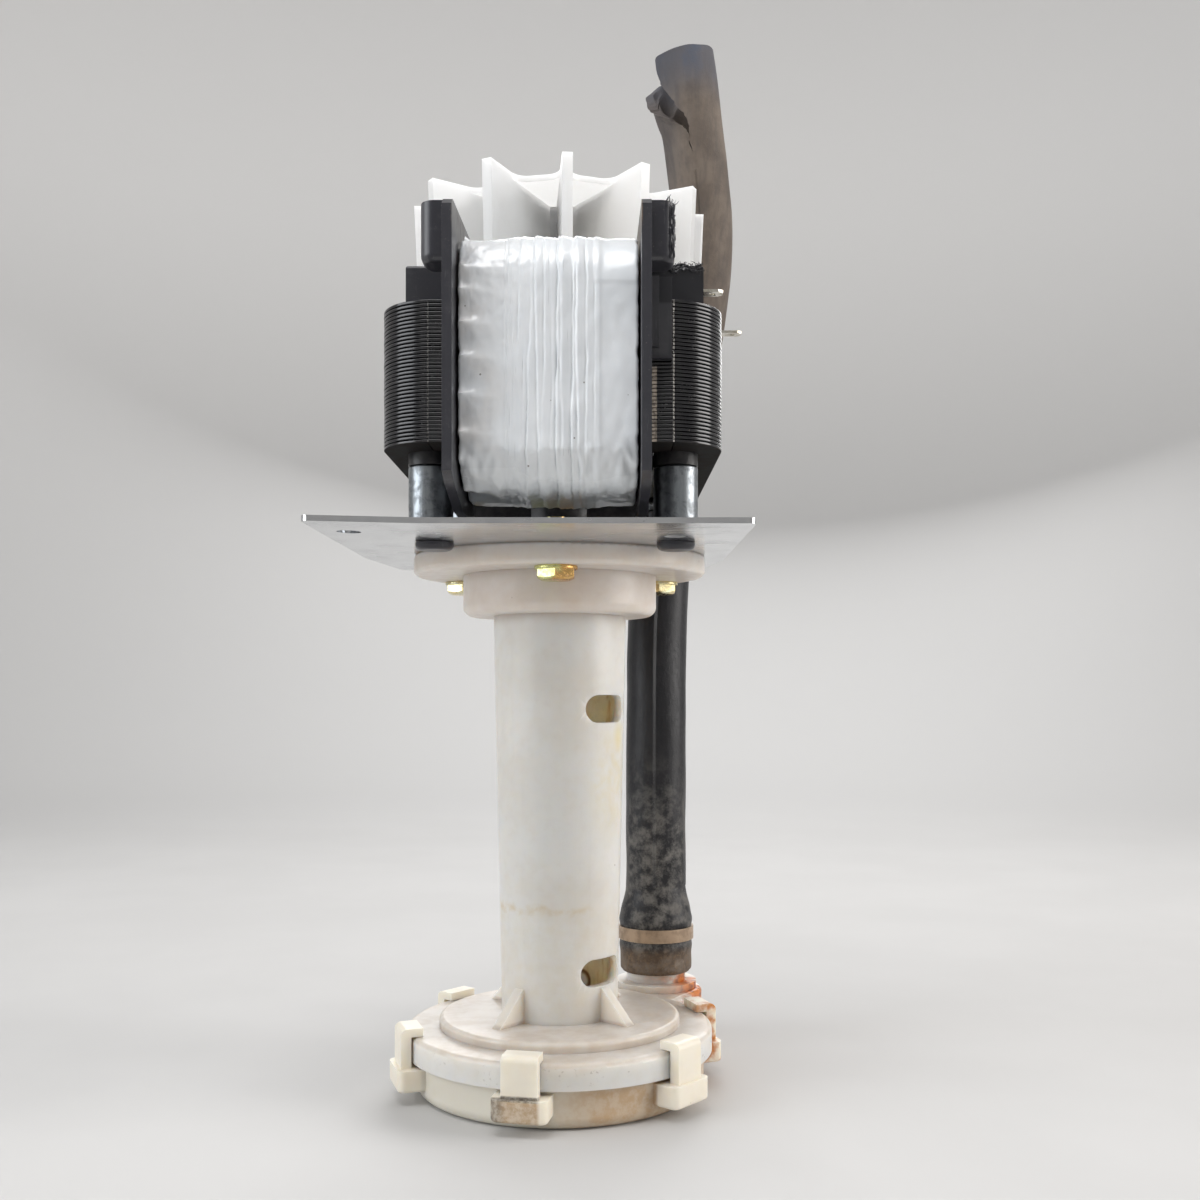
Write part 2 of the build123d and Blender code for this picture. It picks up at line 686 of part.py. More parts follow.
def column_housing():
    """Moulded column: top flange, cap, tapered tube, gussets, plinth, lid and outlet spigot."""
    lid = Pos(0, 0, LID_SKIRT_Z) * extrude(lobe_outline(LID_R, LOBE_R + 1.7), LID_TOP - LID_SKIRT_Z)
    lid = fillet(lid.edges().group_by(Axis.Z)[-1], 1.1)
    cavity = lobe_outline(BOWL_R + 0.15, LOBE_R + 0.15)
    lid -= Pos(0, 0, LID_SKIRT_Z - 1) * extrude(cavity, LID_TOP - LID_T - LID_SKIRT_Z + 1)

    flange = rod(FLANGE_R, -FLANGE_T, 0)
    flange = fillet(flange.edges().group_by(Axis.Z)[0], 1.0)
    flange = fillet(flange.edges().group_by(Axis.Z)[-1], 0.6)
    cap = rod(CAP_R, CAP_Z, -FLANGE_T + 0.5)
    cap = fillet(cap.edges().group_by(Axis.Z)[0], 2.0)
    stem = turned([
        (0, COLUMN_FOOT_Z - 1), (COLUMN_FOOT_R, COLUMN_FOOT_Z - 1),
        (COLUMN_TOP_R, CAP_Z + 0.5), (0, CAP_Z + 0.5),
    ])
    plinth = rod(PLINTH_R, LID_TOP - 0.5, COLUMN_FOOT_Z)
    plinth = fillet(plinth.edges().group_by(Axis.Z)[-1], 0.9)
    body = flange + cap + stem + plinth + lid
    for azimuth in GUSSET_AZ:
        body += column_gusset(azimuth)
    body += rod(SPIGOT_R, LID_TOP - 1, SPIGOT_TOP, *LOBE)
    body += rod(LOBE_R + 0.4, LID_TOP - 1, LID_TOP + 1.6, *LOBE)

    floor_z = LID_TOP + 0.6
    bore_foot = COLUMN_FOOT_R - COLUMN_WALL
    bore_top = COLUMN_TOP_R - COLUMN_WALL
    body -= turned([(0, floor_z), (bore_foot, floor_z), (bore_top, CAP_Z), (bore_top, 1), (0, 1)])
    body -= rod(4.2, LID_TOP - 9, floor_z + 1)
    body -= rod(SPIGOT_BORE_R, LID_SKIRT_Z, SPIGOT_TOP + 1, *LOBE)
    for z in SLOT_Z:
        body -= column_slot(z)
    for azimuth in (0, 120, 240):
        x, y = polar(FLANGE_SCREW_R, azimuth)
        body -= rod(BOLT_R + BOLT_CLEAR, -FLANGE_T - 1, 1, x, y)
    return body


# ---------------------------------------------------------------- bowl
def clip(azimuth):
    """Snap clip: a foot box on the bowl, an arm up the skirt and a hook over the lid's edge."""
    arm_in = LID_R + 0.25
    arm_out = arm_in + 2.1
    foot = block((-5.5, 5.5), (-arm_out - 0.9, -BOWL_R + 1.0), (-107.2, LID_SKIRT_Z - 0.9))
    foot = fillet(foot.edges().filter_by(Axis.Z).sort_by(Axis.Y)[:2], 1.6)
    foot = fillet(foot.edges().group_by(Axis.Z)[0].sort_by(Axis.Y)[0], 0.8)
    arm = block((-3.5, 3.5), (-arm_out, -arm_in), (-104.0, LID_TOP + 1.8))
    hook = block((-3.5, 3.5), (-arm_out, -arm_in + 2.4), (LID_TOP + 0.15, LID_TOP + 1.8))
    arm = arm + hook
    top = arm.edges().filter_by(Axis.X).group_by(Axis.Z)[-1].sort_by(Axis.Y)[0]
    arm = fillet(top, 1.3)
    return at_azimuth(azimuth) * (foot + arm)


def pump_bowl():
    """Moulded bowl with snap clips; water enters through the hole in its floor."""
    rim_z = LID_TOP - LID_T - 0.1
    bowl = Pos(0, 0, BOWL_BOTTOM) * extrude(lobe_outline(BOWL_R, LOBE_R), rim_z - BOWL_BOTTOM)
    bowl = fillet(bowl.edges().group_by(Axis.Z)[0], 2.6)
    inside = lobe_outline(BOWL_R - BOWL_WALL, LOBE_R - BOWL_WALL)
    bowl -= Pos(0, 0, BOWL_BOTTOM + 2.0) * extrude(inside, 30)
    for azimuth in CLIP_AZ:
        bowl += clip(azimuth)
    bowl += tube(INLET_R + 2.0, INLET_R, BOWL_BOTTOM, BOWL_BOTTOM + 2.2)
    return bowl - rod(INLET_R, BOWL_BOTTOM - 1, BOWL_BOTTOM + 4)


# ---------------------------------------------------------------- hose
def route_radii(points):
    """The largest tangent arc that each corner of a route allows, from its shorter run."""
    radii = []
    for before, corner, after in zip(points, points[1:], points[2:]):
        run_in = Vector(*corner) - Vector(*before)
        run_out = Vector(*after) - Vector(*corner)
        half_turn = math.radians(run_in.get_angle(run_out)) / 2
        radii.append(0.45 * min(run_in.length, run_out.length) / math.tan(half_turn))
    return radii


def hose():
    """The free stretch of the hose, as one plain tube along its route."""
    radii = route_radii(HOSE_ROUTE)
    path = FilletPolyline(*HOSE_ROUTE, radius=radii)
    section = Circle(HOSE_R) - Circle(HOSE_BORE_R)
    solid = sweep(Pos(*HOSE_ROUTE[0]) * section, path=path)
    print("hose radii", [round(r) for r in radii], "length", round(path.length, 1))
    print("hose volume / (section x length)", solid.volume / (section.area * path.length))
    return solid


def hose_cuff():
    """The end of the hose, stretched over the spigot."""
    return tube(CUFF_R, SPIGOT_R, CUFF_BOTTOM, SPIGOT_TOP - 0.3, *LOBE)


def hose_clamp():
    """Thin band round the cuff, with its two crimped ends."""
    z_span = (CLAMP_Z - CLAMP_W / 2, CLAMP_Z + CLAMP_W / 2)
    band = tube(CUFF_R + CLAMP_T, CUFF_R, *z_span, *LOBE)
    x, y = LOBE
    ear = block((x - 1.2, x + 1.2), (y + CUFF_R + 0.3, y + CUFF_R + 3.0), z_span)
    return band + ear


# ---------------------------------------------------------------- the parts
NODES = {
    "mounting_plate": mounting_plate,
    "hole_plugs": hole_plugs,
    "spacer_tubes": spacer_tubes,
    "motor_screws": motor_screws,
    "flange_screws": flange_screws,
    "flange_nuts": flange_nuts,
    "stator_yoke": stator_yoke,
    "core_bar": core_bar,
    "shading_rings": shading_rings,
    "stator_rivets": stator_rivets,
    "coil_bobbin": coil_bobbin,
    "coil_winding": coil_winding,
    "coil_tape": coil_tape,
    "spade_terminals": spade_terminals,
    "lower_bearing_bracket": lower_bearing_bracket,
    "upper_bearing_bracket": upper_bearing_bracket,
    "lower_bearing": lambda: bearing(LOWER_BEARING_Z),
    "upper_bearing": lambda: bearing(UPPER_BEARING_Z),
    "lower_bearing_retainer": lambda: retainer(LOWER_BEARING_Z - 0.6),
    "upper_bearing_retainer": lambda: retainer(UPPER_BEARING_Z + BEARING_L),
    "oil_felts": oil_felts,
    "motor_shaft": motor_shaft,
    "rotor_core": rotor_core,
    "rotor_cage": rotor_cage,
    "thrust_washers": thrust_washers,
    "cooling_fan": cooling_fan,
    "fan_clip": fan_clip,
    "shaft_slinger": shaft_slinger,
    "impeller": impeller,
    "impeller_screw": impeller_screw,
    "column_housing": column_housing,
    "pump_bowl": pump_bowl,
    "hose": hose,
    "hose_cuff": hose_cuff,
    "hose_clamp": hose_clamp,
}

for name, make in NODES.items():
    export_step(make(), f"parts/{name}.step")
    print("wrote", name)
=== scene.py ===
import json
import math

import bmesh
import bpy
import numpy as np
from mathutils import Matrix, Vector, noise

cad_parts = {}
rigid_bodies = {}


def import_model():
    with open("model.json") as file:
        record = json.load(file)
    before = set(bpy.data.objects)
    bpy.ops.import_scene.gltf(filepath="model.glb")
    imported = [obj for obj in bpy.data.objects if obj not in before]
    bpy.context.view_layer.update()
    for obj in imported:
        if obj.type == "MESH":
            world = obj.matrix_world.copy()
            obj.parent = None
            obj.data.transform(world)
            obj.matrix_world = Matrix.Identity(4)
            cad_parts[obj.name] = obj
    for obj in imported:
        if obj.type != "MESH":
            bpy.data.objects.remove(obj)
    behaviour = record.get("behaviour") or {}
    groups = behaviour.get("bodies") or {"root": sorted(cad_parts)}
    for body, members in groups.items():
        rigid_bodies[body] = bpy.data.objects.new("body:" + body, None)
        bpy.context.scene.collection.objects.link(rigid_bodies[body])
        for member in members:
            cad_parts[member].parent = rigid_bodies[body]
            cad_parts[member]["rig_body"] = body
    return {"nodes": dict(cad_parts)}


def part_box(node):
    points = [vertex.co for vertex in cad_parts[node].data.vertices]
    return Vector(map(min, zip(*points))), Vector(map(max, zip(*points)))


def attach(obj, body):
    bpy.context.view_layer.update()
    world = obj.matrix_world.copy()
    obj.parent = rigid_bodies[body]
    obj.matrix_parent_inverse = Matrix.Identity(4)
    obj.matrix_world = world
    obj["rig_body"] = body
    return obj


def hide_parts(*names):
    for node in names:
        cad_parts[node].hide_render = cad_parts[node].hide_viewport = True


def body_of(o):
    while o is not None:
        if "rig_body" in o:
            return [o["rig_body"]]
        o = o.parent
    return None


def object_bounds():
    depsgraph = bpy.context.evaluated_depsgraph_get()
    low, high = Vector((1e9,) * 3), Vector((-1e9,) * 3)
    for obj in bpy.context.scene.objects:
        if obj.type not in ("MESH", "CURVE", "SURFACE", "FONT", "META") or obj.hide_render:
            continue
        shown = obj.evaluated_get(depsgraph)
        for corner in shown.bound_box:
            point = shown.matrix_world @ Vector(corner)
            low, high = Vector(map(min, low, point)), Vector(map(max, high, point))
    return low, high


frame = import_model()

CAD_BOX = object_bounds()

# Sizes are in millimetres, in the frame of the CAD, and MM turns them into metres.
MM = 0.001
# Faces that meet at less than this angle are one flat.
NEARLY_FLAT = math.radians(0.4)

# The free hose's route, point by point as in the CAD.
HOSE_ROUTE = [
    (21.5, 33.0, -73.0),
    (21.5, 33.0, -45.0),
    (22.0, 39.0, -3.0),
    (27.3, 40.6, 36.0),
    (33.4, 33.0, 74.0),
    (30.2, 26.6, 98.0),
    (27.3, 24.6, 117.0),
]
HOSE_R = 7.0
HOSE_BORE_R = 5.0


# ---------------------------------------------------------------- numbers and noise
def span(node):
    """A node's lowest and highest corners, in millimetres."""
    low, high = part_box(node)
    return np.array(low) / MM, np.array(high) / MM


def ease(value, start, end):
    """Smooth step from 0 at start to 1 at end."""
    t = np.clip((value - start) / (end - start), 0.0, 1.0)
    return t * t * (3.0 - 2.0 * t)


def bell(value, centre, width):
    """Smooth hump of height 1 round a centre."""
    return np.exp(-(((value - centre) / width) ** 2))


def wave(x, y=0.0, z=0.0):
    """Smooth noise from -1 to 1; a fixed function of its point."""
    x, y, z = np.broadcast_arrays(x, y, z)
    flat = [noise.noise(Vector(p)) for p in zip(x.ravel(), y.ravel(), z.ravel())]
    return np.array(flat).reshape(x.shape) * 1.6


# ---------------------------------------------------------------- mesh helpers
def grid_faces(rows, columns, start=0, wrap=False, flip=False):
    """Quads of a grid of points that is numbered row by row; wrap joins the last column to the first."""
    faces = []
    for r in range(rows - 1):
        for c in range(columns if wrap else columns - 1):
            d = (c + 1) % columns
            quad = [start + r * columns + c, start + r * columns + d]
            quad += [start + (r + 1) * columns + d, start + (r + 1) * columns + c]
            faces.append(quad[::-1] if flip else quad)
    return faces


def mesh_from(name, points, faces):
    """A mesh from points in millimetres."""
    mesh = bpy.data.meshes.new(name)
    mesh.from_pydata([tuple(p) for p in np.asarray(points) * MM], [], faces)
    mesh.update()
    return mesh


def join_meshes(name, parts):
    """One mesh from several (points, faces) pairs."""
    points, faces, start = [], [], 0
    for part_points, part_faces in parts:
        points.extend(part_points)
        faces.extend([[start + i for i in face] for face in part_faces])
        start += len(part_points)
    return mesh_from(name, points, faces)


def clean(mesh):
    """Merges doubled points and turns the faces outward."""
    bm = bmesh.new()
    bm.from_mesh(mesh)
    bmesh.ops.remove_doubles(bm, verts=bm.verts, dist=1e-7)
    bmesh.ops.recalc_face_normals(bm, faces=bm.faces)
    bm.to_mesh(mesh)
    bm.free()
    return mesh


def shade(mesh, sharp=35.0):
    """Smooth faces with crisp edges where they turn by more than an angle."""
    mesh.polygons.foreach_set("use_smooth", [True] * len(mesh.polygons))
    mesh.set_sharp_from_angle(angle=math.radians(sharp))
    return mesh


def piece(name, mesh, material, node, also=(), stands_for=True):
    """Puts a mesh in the scene on a node's body; it shows in place of that node and of others."""
    obj = bpy.data.objects.new(name, mesh)
    bpy.context.scene.collection.objects.link(obj)
    for one in material if isinstance(material, (list, tuple)) else [material]:
        mesh.materials.append(one)
    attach(obj, body_of(frame["nodes"][node])[0])
    if stands_for:
        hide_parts(node, *also)
    return obj


def round_edges(bm, edges, width, segments):
    """Bevels edges of a mesh by a width in its own units."""
    bmesh.ops.bevel(
        bm, geom=edges, offset=width, offset_type="OFFSET", segments=segments, profile=0.5,
        affect="EDGES", clamp_overlap=True,
    )


def refined(node, material, bevel=0.18, segments=2, sharp=28.0, bend=None, crease_x=None):
    """A node's own shape with merged flats and small rounded edges; a bend may start at a crease."""
    source = frame["nodes"][node].data
    mesh = bpy.data.meshes.new(node + "_fine")
    points = [v.co[:] for v in source.vertices]
    mesh.from_pydata(points, [], [p.vertices[:] for p in source.polygons])
    bm = bmesh.new()
    bm.from_mesh(mesh)
    bmesh.ops.remove_doubles(bm, verts=bm.verts, dist=2e-7)
    bmesh.ops.dissolve_degenerate(bm, dist=1e-7, edges=bm.edges)
    bmesh.ops.dissolve_limit(bm, angle_limit=NEARLY_FLAT, verts=bm.verts, edges=bm.edges)
    if crease_x is not None:
        everything = bm.verts[:] + bm.edges[:] + bm.faces[:]
        bmesh.ops.bisect_plane(bm, geom=everything, plane_co=(crease_x * MM, 0, 0), plane_no=(1, 0, 0))
    limit = math.radians(sharp)
    edges = [e for e in bm.edges if e.is_manifold and e.calc_face_angle() > limit]
    if bevel:
        round_edges(bm, edges, bevel * MM, segments)
    if bend:
        for vert in bm.verts:
            vert.co = Vector(bend(*[c / MM for c in vert.co])) * MM
    bm.to_mesh(mesh)
    bm.free()
    shade(mesh, 40.0)
    obj = piece(node + "_fine", mesh, material, node)
    obj.modifiers.new("even flats", "WEIGHTED_NORMAL").keep_sharp = True
    return obj


# ---------------------------------------------------------------- shader helpers
class Look:
    """One material's nodes. Lengths in its textures are millimetres in the CAD's frame."""

    def __init__(self, name, **sockets):
        self.material = bpy.data.materials.new(name)
        self.material.use_nodes = True
        self.nodes = self.material.node_tree.nodes
        self.links = self.material.node_tree.links
        self.bsdf = self.nodes["Principled BSDF"]
        coords = self.nodes.new("ShaderNodeTexCoord").outputs["Object"]
        scaled = self.node("ShaderNodeVectorMath", {0: coords, "Scale": 1 / MM}, operation="SCALE")
        self.at = scaled.outputs[0]
        split = self.node("ShaderNodeSeparateXYZ", {0: self.at})
        self.x, self.y, self.z = split.outputs
        for socket, value in sockets.items():
            self.set(socket.replace("_", " ").title(), value)

    def node(self, kind, inputs, **settings):
        """A node with its settings and inputs, which are values or other nodes' outputs."""
        made = self.nodes.new(kind)
        for key, value in settings.items():
            setattr(made, key, value)
        for key, value in inputs.items():
            self.feed(made.inputs[key], value)
        return made

    def feed(self, socket, value):
        """Links an output to a socket, or sets its value."""
        if isinstance(value, bpy.types.NodeSocket):
            self.links.new(value, socket)
        elif isinstance(value, (tuple, list)) and socket.type == "RGBA":
            socket.default_value = (*value[:3], 1.0)
        else:
            socket.default_value = value

    def set(self, socket, value):
        """Feeds one of the surface shader's sockets."""
        self.feed(self.bsdf.inputs[socket], value)

    def stretched(self, x=1.0, y=1.0, z=1.0):
        """The coordinates, scaled apart along each axis."""
        return self.node("ShaderNodeVectorMath", {0: self.at, 1: (x, y, z)}, operation="MULTIPLY").outputs[0]

    def noise(self, size, detail=3.0, rough=0.55, warp=0.0, at=None, low=0.0, high=1.0):
        """Noise with features of about that size, eased from 0 at low to 1 at high."""
        made = self.node(
            "ShaderNodeTexNoise",
            {"Vector": at or self.at, "Scale": 1.0 / size, "Detail": detail, "Roughness": rough,
             "Distortion": warp},
        ).outputs["Fac"]
        return made if (low, high) == (0.0, 1.0) else self.ramp(made, low, high)

    def cells(self, size, feature="F1", at=None, output="Distance", jitter=1.0):
        """Voronoi cells of about that size."""
        made = self.node(
            "ShaderNodeTexVoronoi",
            {"Vector": at or self.at, "Scale": 1.0 / size, "Randomness": jitter}, feature=feature,
        )
        return made.outputs[output]

    def ramp(self, value, low, high, to_low=0.0, to_high=1.0):
        """Smooth map of a value from one range to another, clamped."""
        made = self.node(
            "ShaderNodeMapRange",
            {"Value": value, "From Min": low, "From Max": high, "To Min": to_low, "To Max": to_high},
            interpolation_type="SMOOTHSTEP",
        )
        return made.outputs[0]

    def between(self, mask, at_none, at_full):
        """A mask from 0 to 1, mapped to run from one value to another."""
        return self.ramp(mask, 0.0, 1.0, at_none, at_full)

    def fall(self, value, low, high):
        """1 below a value, falling smoothly to 0 at a higher one."""
        return self.ramp(value, low, high, 1.0, 0.0)

    def math(self, operation, a, b=0.0):
        """One sum, product or other operation."""
        made = self.node("ShaderNodeMath", {0: a, 1: b}, operation=operation)
        return made.outputs[0]

    def mix(self, amount, a, b, blend="MIX"):
        """Colour a turning into colour b."""
        made = self.node("ShaderNodeMix", {0: amount}, data_type="RGBA", blend_type=blend)
        self.feed(made.inputs[6], a)
        self.feed(made.inputs[7], b)
        return made.outputs[2]

    def over(self, base, mask, strength, colour):
        """A colour laid over a base where a mask is, at some strength."""
        return self.mix(self.math("MULTIPLY", mask, strength), base, colour)

    def radius(self):
        """Distance from the shaft's axis."""
        squares = self.math("POWER", self.x, 2.0), self.math("POWER", self.y, 2.0)
        return self.math("SQRT", self.math("ADD", *squares))

    def blob(self, centre, radius, soft=1.0, stretch=(1.0, 1.0, 1.0)):
        """1 at a point, falling smoothly to 0 at a distance."""
        moved = self.node("ShaderNodeVectorMath", {0: self.at, 1: centre}, operation="SUBTRACT").outputs[0]
        scaled = self.node("ShaderNodeVectorMath", {0: moved, 1: stretch}, operation="MULTIPLY").outputs[0]
        away = self.node("ShaderNodeVectorMath", {0: scaled}, operation="LENGTH").outputs["Value"]
        return self.fall(away, radius * (1 - soft), radius)

    def band(self, value, low, high, edge):
        """1 between two values, with soft edges."""
        rise = self.ramp(value, low - edge, low + edge)
        return self.math("MULTIPLY", rise, self.fall(value, high - edge, high + edge))

    def times(self, *values):
        """The product of several masks."""
        product = values[0]
        for value in values[1:]:
            product = self.math("MULTIPLY", product, value)
        return product

    def bump(self, height, depth, strength=1.0):
        """Relief of a depth in millimetres; calls add up."""
        normal = self.bsdf.inputs["Normal"]
        made = self.node(
            "ShaderNodeBump", {"Height": height, "Strength": strength, "Distance": depth * MM}
        )
        if normal.is_linked:
            self.links.new(normal.links[0].from_socket, made.inputs["Normal"])
        self.links.new(made.outputs[0], normal)

    def worn(self, low=0.52, high=0.60):
        """A mask of sharp outer edges."""
        pointy = self.nodes.new("ShaderNodeNewGeometry").outputs["Pointiness"]
        return self.ramp(pointy, low, high)


# ---------------------------------------------------------------- materials
def galvanised():
    """Bright zinc sheet with faint spangle, fine rolling streaks along X and a few stains."""
    look = Look("galvanised sheet", metallic=1.0)
    spangle = look.cells(6.0, output="Color")
    tone = look.node("ShaderNodeSeparateColor", {0: spangle}).outputs[0]
    cloudy = look.noise(8.0, detail=4.0, low=0.38, high=0.70)
    streak = look.noise(0.9, detail=3.0, at=look.stretched(0.05, 1.0, 1.0), low=0.38, high=0.7)
    base = look.over((0.72, 0.73, 0.74), tone, 0.40, (0.60, 0.615, 0.635))
    base = look.over(base, cloudy, 0.35, (0.50, 0.505, 0.52))
    fleck = look.noise(0.9, detail=2.0, low=0.70, high=0.76)
    base = look.over(base, fleck, 0.6, (0.16, 0.15, 0.14))
    look.set("Base Color", base)
    rough = look.math("ADD", look.times(cloudy, 0.10), look.times(streak, 0.08))
    look.set("Roughness", look.math("ADD", rough, 0.13))
    look.bump(streak, 0.006, 0.5)
    look.bump(look.noise(5.0, detail=2.0), 0.05, 0.4)
    return look.material


def mottled_zinc():
    """Dull zinc tube with dark blotches, drawn streaks along Z and bright rubbed patches."""
    look = Look("mottled zinc tube", metallic=1.0)
    blotch = look.noise(2.2, detail=5.0, rough=0.65, warp=0.4, low=0.42, high=0.66)
    fine = look.noise(0.5, detail=4.0, at=look.stretched(1.0, 1.0, 0.22), low=0.4, high=0.7)
    base = look.mix(blotch, (0.30, 0.325, 0.345), (0.16, 0.17, 0.18))
    base = look.over(base, fine, 0.30, (0.44, 0.46, 0.48))
    look.set("Base Color", base)
    look.set("Roughness", look.between(blotch, 0.30, 0.46))
    look.bump(fine, 0.010, 0.6)
    look.bump(blotch, 0.010, 0.4)
    return look.material


def blackened():
    """Oil-blackened steel with rubbed edges."""
    look = Look("blackened steel", metallic=1.0)
    patch = look.noise(1.2, detail=4.0, low=0.38, high=0.7)
    base = look.mix(patch, (0.16, 0.16, 0.17), (0.30, 0.30, 0.31))
    look.set("Base Color", look.mix(look.worn(), base, (0.55, 0.55, 0.56)))
    look.set("Roughness", look.between(patch, 0.28, 0.45))
    look.bump(look.noise(0.35, detail=3.0), 0.015, 0.6)
    return look.material


def yellow_zinc():
    """Yellow passivated zinc: green-yellow that drifts to amber and rose."""
    look = Look("yellow zinc", metallic=1.0)
    drift = look.noise(3.4, detail=2.0, warp=0.5, low=0.36, high=0.64)
    rose = look.noise(2.4, detail=2.0, at=look.stretched(1.3, 0.8, 1.9), low=0.55, high=0.75)
    side = look.ramp(look.math("ADD", look.x, look.between(drift, -1.0, 1.0)), -0.8, 0.8)
    base = look.mix(side, (0.76, 0.76, 0.34), (0.80, 0.50, 0.18))
    rear = look.ramp(look.y, -18.0, -12.0)
    base = look.mix(rear, base, look.mix(drift, (0.80, 0.76, 0.50), (0.78, 0.62, 0.30)))
    base = look.over(base, rose, 0.35, (0.66, 0.42, 0.40))
    look.set("Base Color", base)
    rough = look.noise(0.7, detail=3.0, low=0.3, high=0.75)
    look.set("Roughness", look.between(rough, 0.16, 0.30))
    look.bump(look.noise(0.4, detail=3.0), 0.012, 0.5)
    return look.material


def varnished_sheets(raw_edge=False):
    """Glossy black varnish over punched sheets, with dust and small bare spots; the bare seams are painted
    bright as glints of the sheets' corners, brighter on the right.
    """
    look = Look("varnished sheets" + (" with a raw edge" if raw_edge else ""))
    dust = look.noise(2.4, detail=5.0, rough=0.65, low=0.50, high=0.78)
    bare = look.noise(0.45, detail=3.0, rough=0.6, low=0.71, high=0.76)
    base = look.over((0.008, 0.008, 0.010), dust, 0.5, (0.026, 0.025, 0.027))
    base = look.over(base, bare, 0.7, (0.22, 0.18, 0.14))
    brown = look.times(look.noise(5.0, detail=4.0, low=0.48, high=0.66), look.fall(look.z, 14.2, 15.2))
    base = look.over(base, brown, 0.5, (0.055, 0.036, 0.026))
    across = look.math("ABSOLUTE", look.x)
    front = look.ramp(look.y, -49.0, -49.5)
    # Painted glints: the bare metal at the seams is painted bright as the sheets' corner glints, brighter on
    # the right side than on the left.
    seam_glint = look.times(look.band(across, 20.86, 21.12, 0.05), front, look.noise(0.5, low=0.36, high=0.5))
    seam_glint = look.times(seam_glint, look.ramp(look.x, -1.0, 1.0, 0.20, 1.0))
    base = look.mix(seam_glint, base, (0.62, 0.59, 0.55))
    if raw_edge:
        strip = look.times(look.fall(look.z, 27.0, 27.8), look.band(look.x, 16.8, 18.1, 0.1))
        grime = look.noise(0.6, detail=3.0, low=0.42, high=0.62)
        base = look.mix(strip, base, look.mix(grime, (0.50, 0.43, 0.35), (0.20, 0.17, 0.14)))
    look.set("Base Color", base)
    look.set("Roughness", look.between(dust, 0.17, 0.34))
    look.set("Coat Weight", 0.3)
    look.set("Coat Roughness", 0.12)
    look.bump(look.noise(1.5, detail=2.0), 0.010, 0.4)
    return look.material


def matt_underside():
    """The dull, sooty face under the stack of sheets."""
    look = Look("matt underside")
    soot = look.noise(2.0, detail=5.0, rough=0.65, low=0.36, high=0.70)
    look.set("Base Color", look.mix(soot, (0.010, 0.009, 0.009), (0.030, 0.024, 0.020)))
    look.set("Roughness", look.between(soot, 0.75, 0.92))
    look.set("Specular IOR Level", 0.15)
    look.bump(look.noise(0.6, detail=3.0), 0.03, 0.6)
    return look.material


def black_plastic():
    """Semi-matt black moulding with dust, rub marks and pale scratches; its cheeks carry dust and a painted
    reflection of the tape, its side blocks painted shade.
    """
    look = Look("black moulded plastic")
    dust = look.noise(3.2, detail=6.0, rough=0.68, low=0.50, high=0.80)
    specks = look.noise(0.30, detail=2.0, low=0.70, high=0.76)
    scratch = look.noise(0.45, detail=3.0, at=look.stretched(1.0, 0.5, 0.08), low=0.66, high=0.74)
    base = look.over((0.024, 0.024, 0.031), dust, 0.7, (0.062, 0.060, 0.066))
    base = look.over(base, specks, 0.5, (0.22, 0.20, 0.18))
    base = look.over(base, scratch, 0.3, (0.14, 0.14, 0.15))
    base = look.over(base, look.worn(low=0.53, high=0.62), 0.4, (0.10, 0.10, 0.105))
    across = look.math("ABSOLUTE", look.x)
    # The cheeks' faces are lighter and warmer: partly dust, partly a painted reflection of the white tape,
    # tinted differently on each side.
    cheek = look.times(look.ramp(across, 15.25, 15.05), look.ramp(look.z, 45.0, 47.5))
    cheek = look.times(cheek, look.noise(1.6, detail=5.0, rough=0.65, low=0.30, high=0.60))
    cheek_dust_and_reflection = look.mix(look.ramp(look.x, -1.0, 1.0), (0.105, 0.100, 0.098), (0.150, 0.110, 0.082))
    base = look.mix(cheek, base, cheek_dust_and_reflection)
    # Painted shade on the side blocks, deeper on the right than on the left.
    block_shade = look.times(
        look.ramp(across, 16.4, 17.0), look.band(look.z, 38.0, 46.2, 0.3), look.ramp(look.y, -52.0, -51.0)
    )
    block_shade = look.times(block_shade, look.ramp(look.x, -1.0, 1.0, 0.3, 0.85))
    base = look.mix(block_shade, base, (0.010, 0.010, 0.013))
    look.set("Base Color", base)
    rough = look.math("ADD", look.times(dust, 0.22), look.times(scratch, 0.08))
    look.set("Roughness", look.math("ADD", rough, 0.30))
    look.bump(look.noise(0.7, detail=4.0), 0.03, 0.6)
    look.bump(scratch, 0.02, 0.6)
    return look.material


